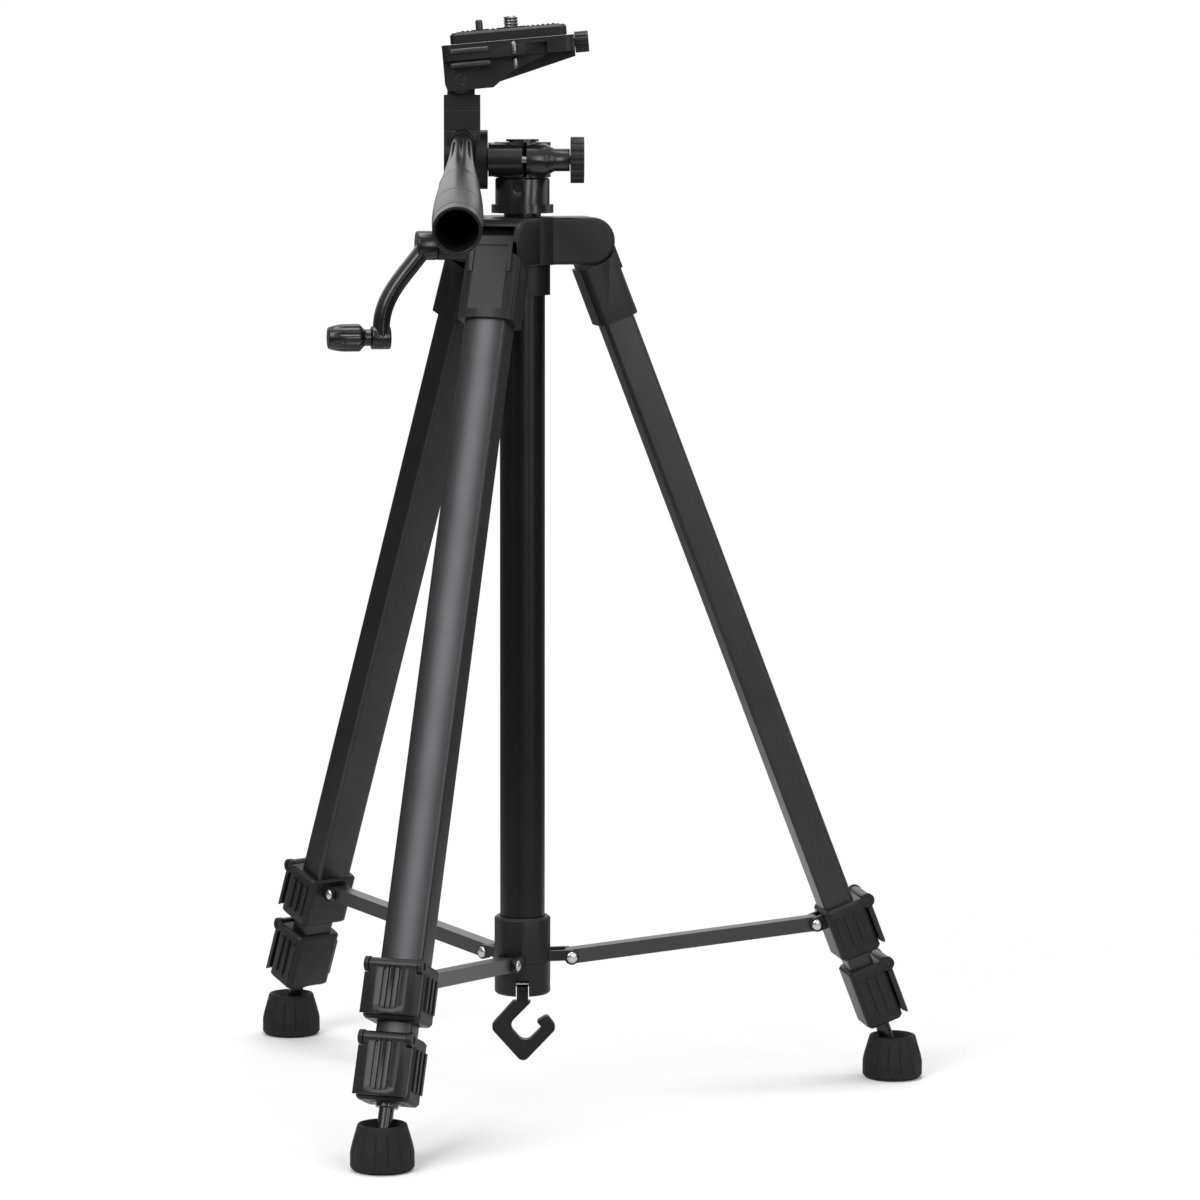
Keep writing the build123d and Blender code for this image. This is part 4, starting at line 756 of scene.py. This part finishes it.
def makeScrew():
    soft, wide, core = screw["round"], screw["headRadius"], screw["coreRadius"]
    low, high, tip = screw["headLow"], screw["headHigh"], screw["tipHigh"]
    rings = [(0, low), (wide - soft, low), (wide, low + soft), (wide, high - soft), (wide - soft, high),
             (core, high), (core, screw["tipLow"]), (screw["tipRadius"], tip), (0, tip)]
    seed = turned("screwBody", rings, screw["steps"], Matrix.Identity(4))
    height = screw["tipLow"] - screw["threadLow"]
    piece = grow("camera_thread", threadTree(), {
        "Core Radius": core, "Ridge": screw["crestRadius"] - core,
        "Turns": height / screw["pitch"], "Height": height, "Low": (0.0, 0.0, screw["threadLow"]),
        "Finish": material["screwSteel"][0]}, seed)
    piece.data.transform(plateFrame() @ Matrix.Translation((screw["along"], 0, 0)))
    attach(piece, "screw")
    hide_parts("camera_screw")


makeScrew()
print("camera screw made")

# ribbed rubber pad on the quick plate, with a ring round the screw and one round the locating pin
pad = {
    "left": 0.0 * mm, "right": 45.0 * mm, "halfDepth": 16 * mm, "corner": 2 * mm,
    "low": 20.5 * mm, "thick": 0.3 * mm, "weld": 0.001 * mm, "cornerSteps": 6,
    "ribs": 19, "pitch": 2.2 * mm, "ribWidth": 1.2 * mm, "ribHeight": 0.4 * mm, "ribLength": 29 * mm,
    "ribSteps": 12, "ringSteps": 40, "ringRound": 0.1 * mm,
    "rings": ((24 * mm, 3.5 * mm, 6.4 * mm), (10 * mm, 2.0 * mm, 3.8 * mm)),      # along, inner, outer
}


def padTree():
    sizes = {label: "Float" for label in ("Pitch", "Length", "Half Width", "Flatten")}
    tree, size = newTree("padRibs", {"Ribs": "Int", **sizes, "Start": "Vector", "Finish": "Material"})
    step = tree.nodes.new("ShaderNodeCombineXYZ")
    tree.links.new(size["Pitch"], step.inputs["X"])
    row = tree.nodes.new("GeometryNodeMeshLine")
    tree.links.new(size["Ribs"], row.inputs["Count"])
    tree.links.new(size["Start"], row.inputs["Start Location"])
    tree.links.new(step.outputs[0], row.inputs["Offset"])
    reach = tree.nodes.new("ShaderNodeCombineXYZ")
    tree.links.new(size["Length"], reach.inputs["Y"])
    line = tree.nodes.new("GeometryNodeCurvePrimitiveLine")
    tree.links.new(reach.outputs[0], line.inputs["End"])
    section = tree.nodes.new("GeometryNodeCurvePrimitiveCircle")
    section.inputs["Resolution"].default_value = pad["ribSteps"]
    tree.links.new(size["Half Width"], section.inputs["Radius"])
    bar = tree.nodes.new("GeometryNodeCurveToMesh")
    bar.inputs["Fill Caps"].default_value = True
    tree.links.new(line.outputs["Curve"], bar.inputs["Curve"])
    tree.links.new(section.outputs["Curve"], bar.inputs["Profile Curve"])
    flat = tree.nodes.new("ShaderNodeCombineXYZ")
    flat.inputs["X"].default_value = flat.inputs["Y"].default_value = 1
    tree.links.new(size["Flatten"], flat.inputs["Z"])
    rib = tree.nodes.new("GeometryNodeTransform")
    tree.links.new(bar.outputs[0], rib.inputs["Geometry"])
    tree.links.new(flat.outputs[0], rib.inputs["Scale"])
    copies = tree.nodes.new("GeometryNodeInstanceOnPoints")
    tree.links.new(row.outputs[0], copies.inputs["Points"])
    tree.links.new(rib.outputs[0], copies.inputs["Instance"])
    whole = tree.nodes.new("GeometryNodeJoinGeometry")
    tree.links.new(size["Geometry"], whole.inputs[0])
    tree.links.new(copies.outputs[0], whole.inputs[0])
    endTree(tree, whole.outputs[0], size["Finish"])
    return tree


def padSheet():
    bm = bmesh.new()
    corner, face = pad["corner"], pad["low"] + pad["thick"]
    right, left, depth = pad["right"] - corner, pad["left"] + corner, pad["halfDepth"] - corner
    rim = []
    for x, y, turn in ((right, depth, 0), (left, depth, 90), (left, -depth, 180), (right, -depth, 270)):
        for step in range(pad["cornerSteps"] + 1):
            angle = math.radians(turn + 90 * step / pad["cornerSteps"])
            rim.append((x + corner * math.cos(angle), y + corner * math.sin(angle)))
    levels = [[bm.verts.new((x, y, height)) for x, y in rim] for height in (pad["low"], face)]
    bm.faces.new(reversed(levels[0]))
    bm.faces.new(levels[1])
    for step in range(len(rim)):
        after = (step + 1) % len(rim)
        bm.faces.new((levels[0][step], levels[0][after], levels[1][after], levels[1][step]))
    low, top, soft = face - pad["thick"] / 2, face + pad["ribHeight"], pad["ringRound"]
    for along, inner, outer in pad["rings"]:
        ring = [(inner, low), (outer, low), (outer, top - soft), (outer - soft, top), (inner, top)]
        place = Matrix.Translation((along, 0, 0))
        bm.from_mesh(turned("padRing", ring + ring[:1], pad["ringSteps"], place))
    bmesh.ops.remove_doubles(bm, verts=bm.verts, dist=pad["weld"])
    mesh = bpy.data.meshes.new("padSheet")
    bm.to_mesh(mesh)
    bm.free()
    return mesh


def makePad():
    half = pad["ribWidth"] / 2
    first = (pad["left"] + pad["right"] - pad["pitch"] * (pad["ribs"] - 1)) / 2
    piece = grow("plate_pad", padTree(), {
        "Ribs": pad["ribs"], "Pitch": pad["pitch"], "Length": pad["ribLength"], "Half Width": half,
        "Flatten": pad["ribHeight"] / half,
        "Start": (first, -pad["ribLength"] / 2, pad["low"] + pad["thick"]),
        "Finish": material["footRubber"][0]}, padSheet())
    piece.data.transform(plateFrame())
    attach(piece, "plate")


makePad()
print("plate pad made")

# rubber feet: a bulged cup round the ball, with broad panels parted by shallow grooves
foot = {
    "bottomRadius": 12.3 * mm, "radius": 13.5 * mm, "topRadius": 10.6 * mm, "rimRadius": 9.2 * mm,
    "edge": 1.5 * mm, "shoulder": 18.5 * mm, "height": 19.5 * mm, "bulge": 0.9 * mm,
    "ballHeight": 11.5 * mm, "socketRadius": 6.3 * mm, "mouthAngle": 27,
    "panels": 14, "grooveDepth": 0.5 * mm, "grooveWidth": 1.5 * mm, "grooveEase": 1.5 * mm,
    "grooveTop": 17.2 * mm, "grooveLow": 2.2 * mm, "grooveMargin": 0.2 * mm,
    "taper": 1.6, "soleRound": (0.3 * mm, 0.15 * mm), "mouthRound": 0.1 * mm, "mouthStep": 9,
    "rimTurns": (30, 60, 90), "rings": 26, "steps": 196,
}


def footGroove(radius, height, angle):
    if radius < foot["topRadius"] - foot["grooveMargin"] or not foot["edge"] <= height <= foot["shoulder"]:
        return radius
    pitch = 2 * math.pi / foot["panels"]
    away = abs((angle + pitch / 2) % pitch - pitch / 2) * radius
    share = 1 - smoothStep(away / (foot["grooveWidth"] / 2))
    share *= smoothStep((height - foot["grooveLow"]) / foot["grooveEase"])
    share *= smoothStep((foot["grooveTop"] - height) / foot["grooveEase"])
    return radius - foot["grooveDepth"] * share


def makeFoot(legName):
    ball = joints[legName + "_foot_swivel"]["pos_m"]
    inset, rise = foot["soleRound"]
    wide, narrow, shoulder, soft = foot["radius"], foot["topRadius"], foot["shoulder"], foot["mouthRound"]
    rings = [(0, 0), (foot["bottomRadius"] - inset, 0), (foot["bottomRadius"], rise)]
    for step in range(foot["rings"] + 1):
        share = step / foot["rings"]
        swell = foot["bulge"] * math.sin(math.pi * share)
        radius = wide + (narrow - wide) * share ** foot["taper"] + swell * (1 - share)
        rings.append((min(radius, wide), foot["edge"] + (shoulder - foot["edge"]) * share))
    rim = foot["height"] - shoulder
    for turn in foot["rimTurns"]:                                                   # rounded rim
        angle = math.radians(turn)
        rings.append((narrow - rim * (1 - math.cos(angle)), shoulder + rim * math.sin(angle)))
    rings.append((foot["rimRadius"] + soft, foot["height"]))
    rings.append((foot["rimRadius"] - soft, foot["height"] - soft))
    for turn in range(foot["mouthAngle"], -90, -foot["mouthStep"]):                 # ball socket
        angle = math.radians(turn)
        rings.append((foot["socketRadius"] * math.cos(angle),
                      foot["ballHeight"] + foot["socketRadius"] * math.sin(angle)))
    rings.append((0, foot["ballHeight"] - foot["socketRadius"]))
    place = Matrix.Translation((ball[0], ball[1], 0))
    mesh = turned(legName + "_cup", rings, foot["steps"], place, footGroove)
    piece = bpy.data.objects.new(legName + "_cup", mesh)
    bpy.context.scene.collection.objects.link(piece)
    dress(piece, "footRubber")
    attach(piece, legName + "_foot_pad")
    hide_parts(legName + "_foot")


for legName in legNames:
    makeFoot(legName)
print("feet made")

# threaded bolt of the pan lock, bare where it crosses the clamp's split
bolt = {
    "middle": 0.8 * mm, "half": 1.4 * mm, "coreRadius": 2.03 * mm, "ridge": 0.1 * mm, "pitch": 0.7 * mm,
    "steps": 32,
}


def makeBolt():
    half, core = bolt["half"], bolt["coreRadius"]
    rings = [(0, -half), (core, -half), (core, half), (0, half)]
    seed = turned("boltCore", rings, bolt["steps"], Matrix.Identity(4))
    piece = grow("clamp_bolt", threadTree(), {
        "Core Radius": core, "Ridge": bolt["ridge"], "Turns": 2 * half / bolt["pitch"],
        "Height": 2 * half, "Low": (0.0, 0.0, -half), "Finish": material["brightSteel"][0]}, seed)
    lock = joints["pan_knob_turn"]
    turn = Vector((0, 0, 1)).rotation_difference(Vector(lock["axis"])).to_matrix().to_4x4()
    place = Matrix.Translation(lock["pos_m"]) @ Matrix.Translation((bolt["middle"], 0, 0))
    piece.data.transform(place @ turn)
    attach(piece, "pan_lock")


makeBolt()
print("clamp bolt made")

# half-round steel posts on the platform's sides, where its ribbed end meets the pocket: each span is
# the side's distance from the middle, then low and high in the plate's frame
post = {
    "along": 24.4 * mm, "radius": 1.5 * mm, "proud": 0.8 * mm, "steps": 28, "ends": 6,
    "spans": ((20 * mm, 9.0 * mm, 15.0 * mm), (15 * mm, 2.6 * mm, 8.4 * mm)),
}
# rounded caps on the two ribs of the platform's near side, in a paler tone that is a painted highlight
ribCap = {
    "left": -3.8 * mm, "right": 13.8 * mm, "out": 20.8 * mm, "radius": 1.2 * mm, "proud": 0.5 * mm,
    "heights": (6.5 * mm, 12.5 * mm),
}


def capsule(radius, low, high):
    rings = [(0, low)]
    for step in range(1, post["ends"] + 1):
        angle = math.pi / 2 * step / post["ends"]
        rings.append((radius * math.sin(angle), low + radius * (1 - math.cos(angle))))
    return rings + [(reach, low + high - height) for reach, height in reversed(rings)]


def setBars(name, bars, finish):
    bm = bmesh.new()
    for rings, place in bars:
        bm.from_mesh(turned(name + "Bar", rings, post["steps"], plateFrame() @ place))
    mesh = bpy.data.meshes.new(name)
    bm.to_mesh(mesh)
    bm.free()
    piece = bpy.data.objects.new(name, mesh)
    bpy.context.scene.collection.objects.link(piece)
    dress(piece, finish)
    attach(piece, "platform_head")


def makePosts():
    sunk = post["radius"] - post["proud"]
    setBars("platform_posts", [
        (capsule(post["radius"], low, high), Matrix.Translation((post["along"], side * (out - sunk), 0)))
        for out, low, high in post["spans"] for side in (-1, 1)], "screwSteel")


def capRibs():
    lie = Matrix.Rotation(math.pi / 2, 4, "Y")
    rings = capsule(ribCap["radius"], ribCap["left"], ribCap["right"])
    near = ribCap["radius"] - ribCap["proud"] - ribCap["out"]
    setBars("platform_ribs", [
        (rings, Matrix.Translation((0, near, height)) @ lie) for height in ribCap["heights"]],
        "ribCapHighlight")


makePosts()
capRibs()
print("platform posts and ribs made")
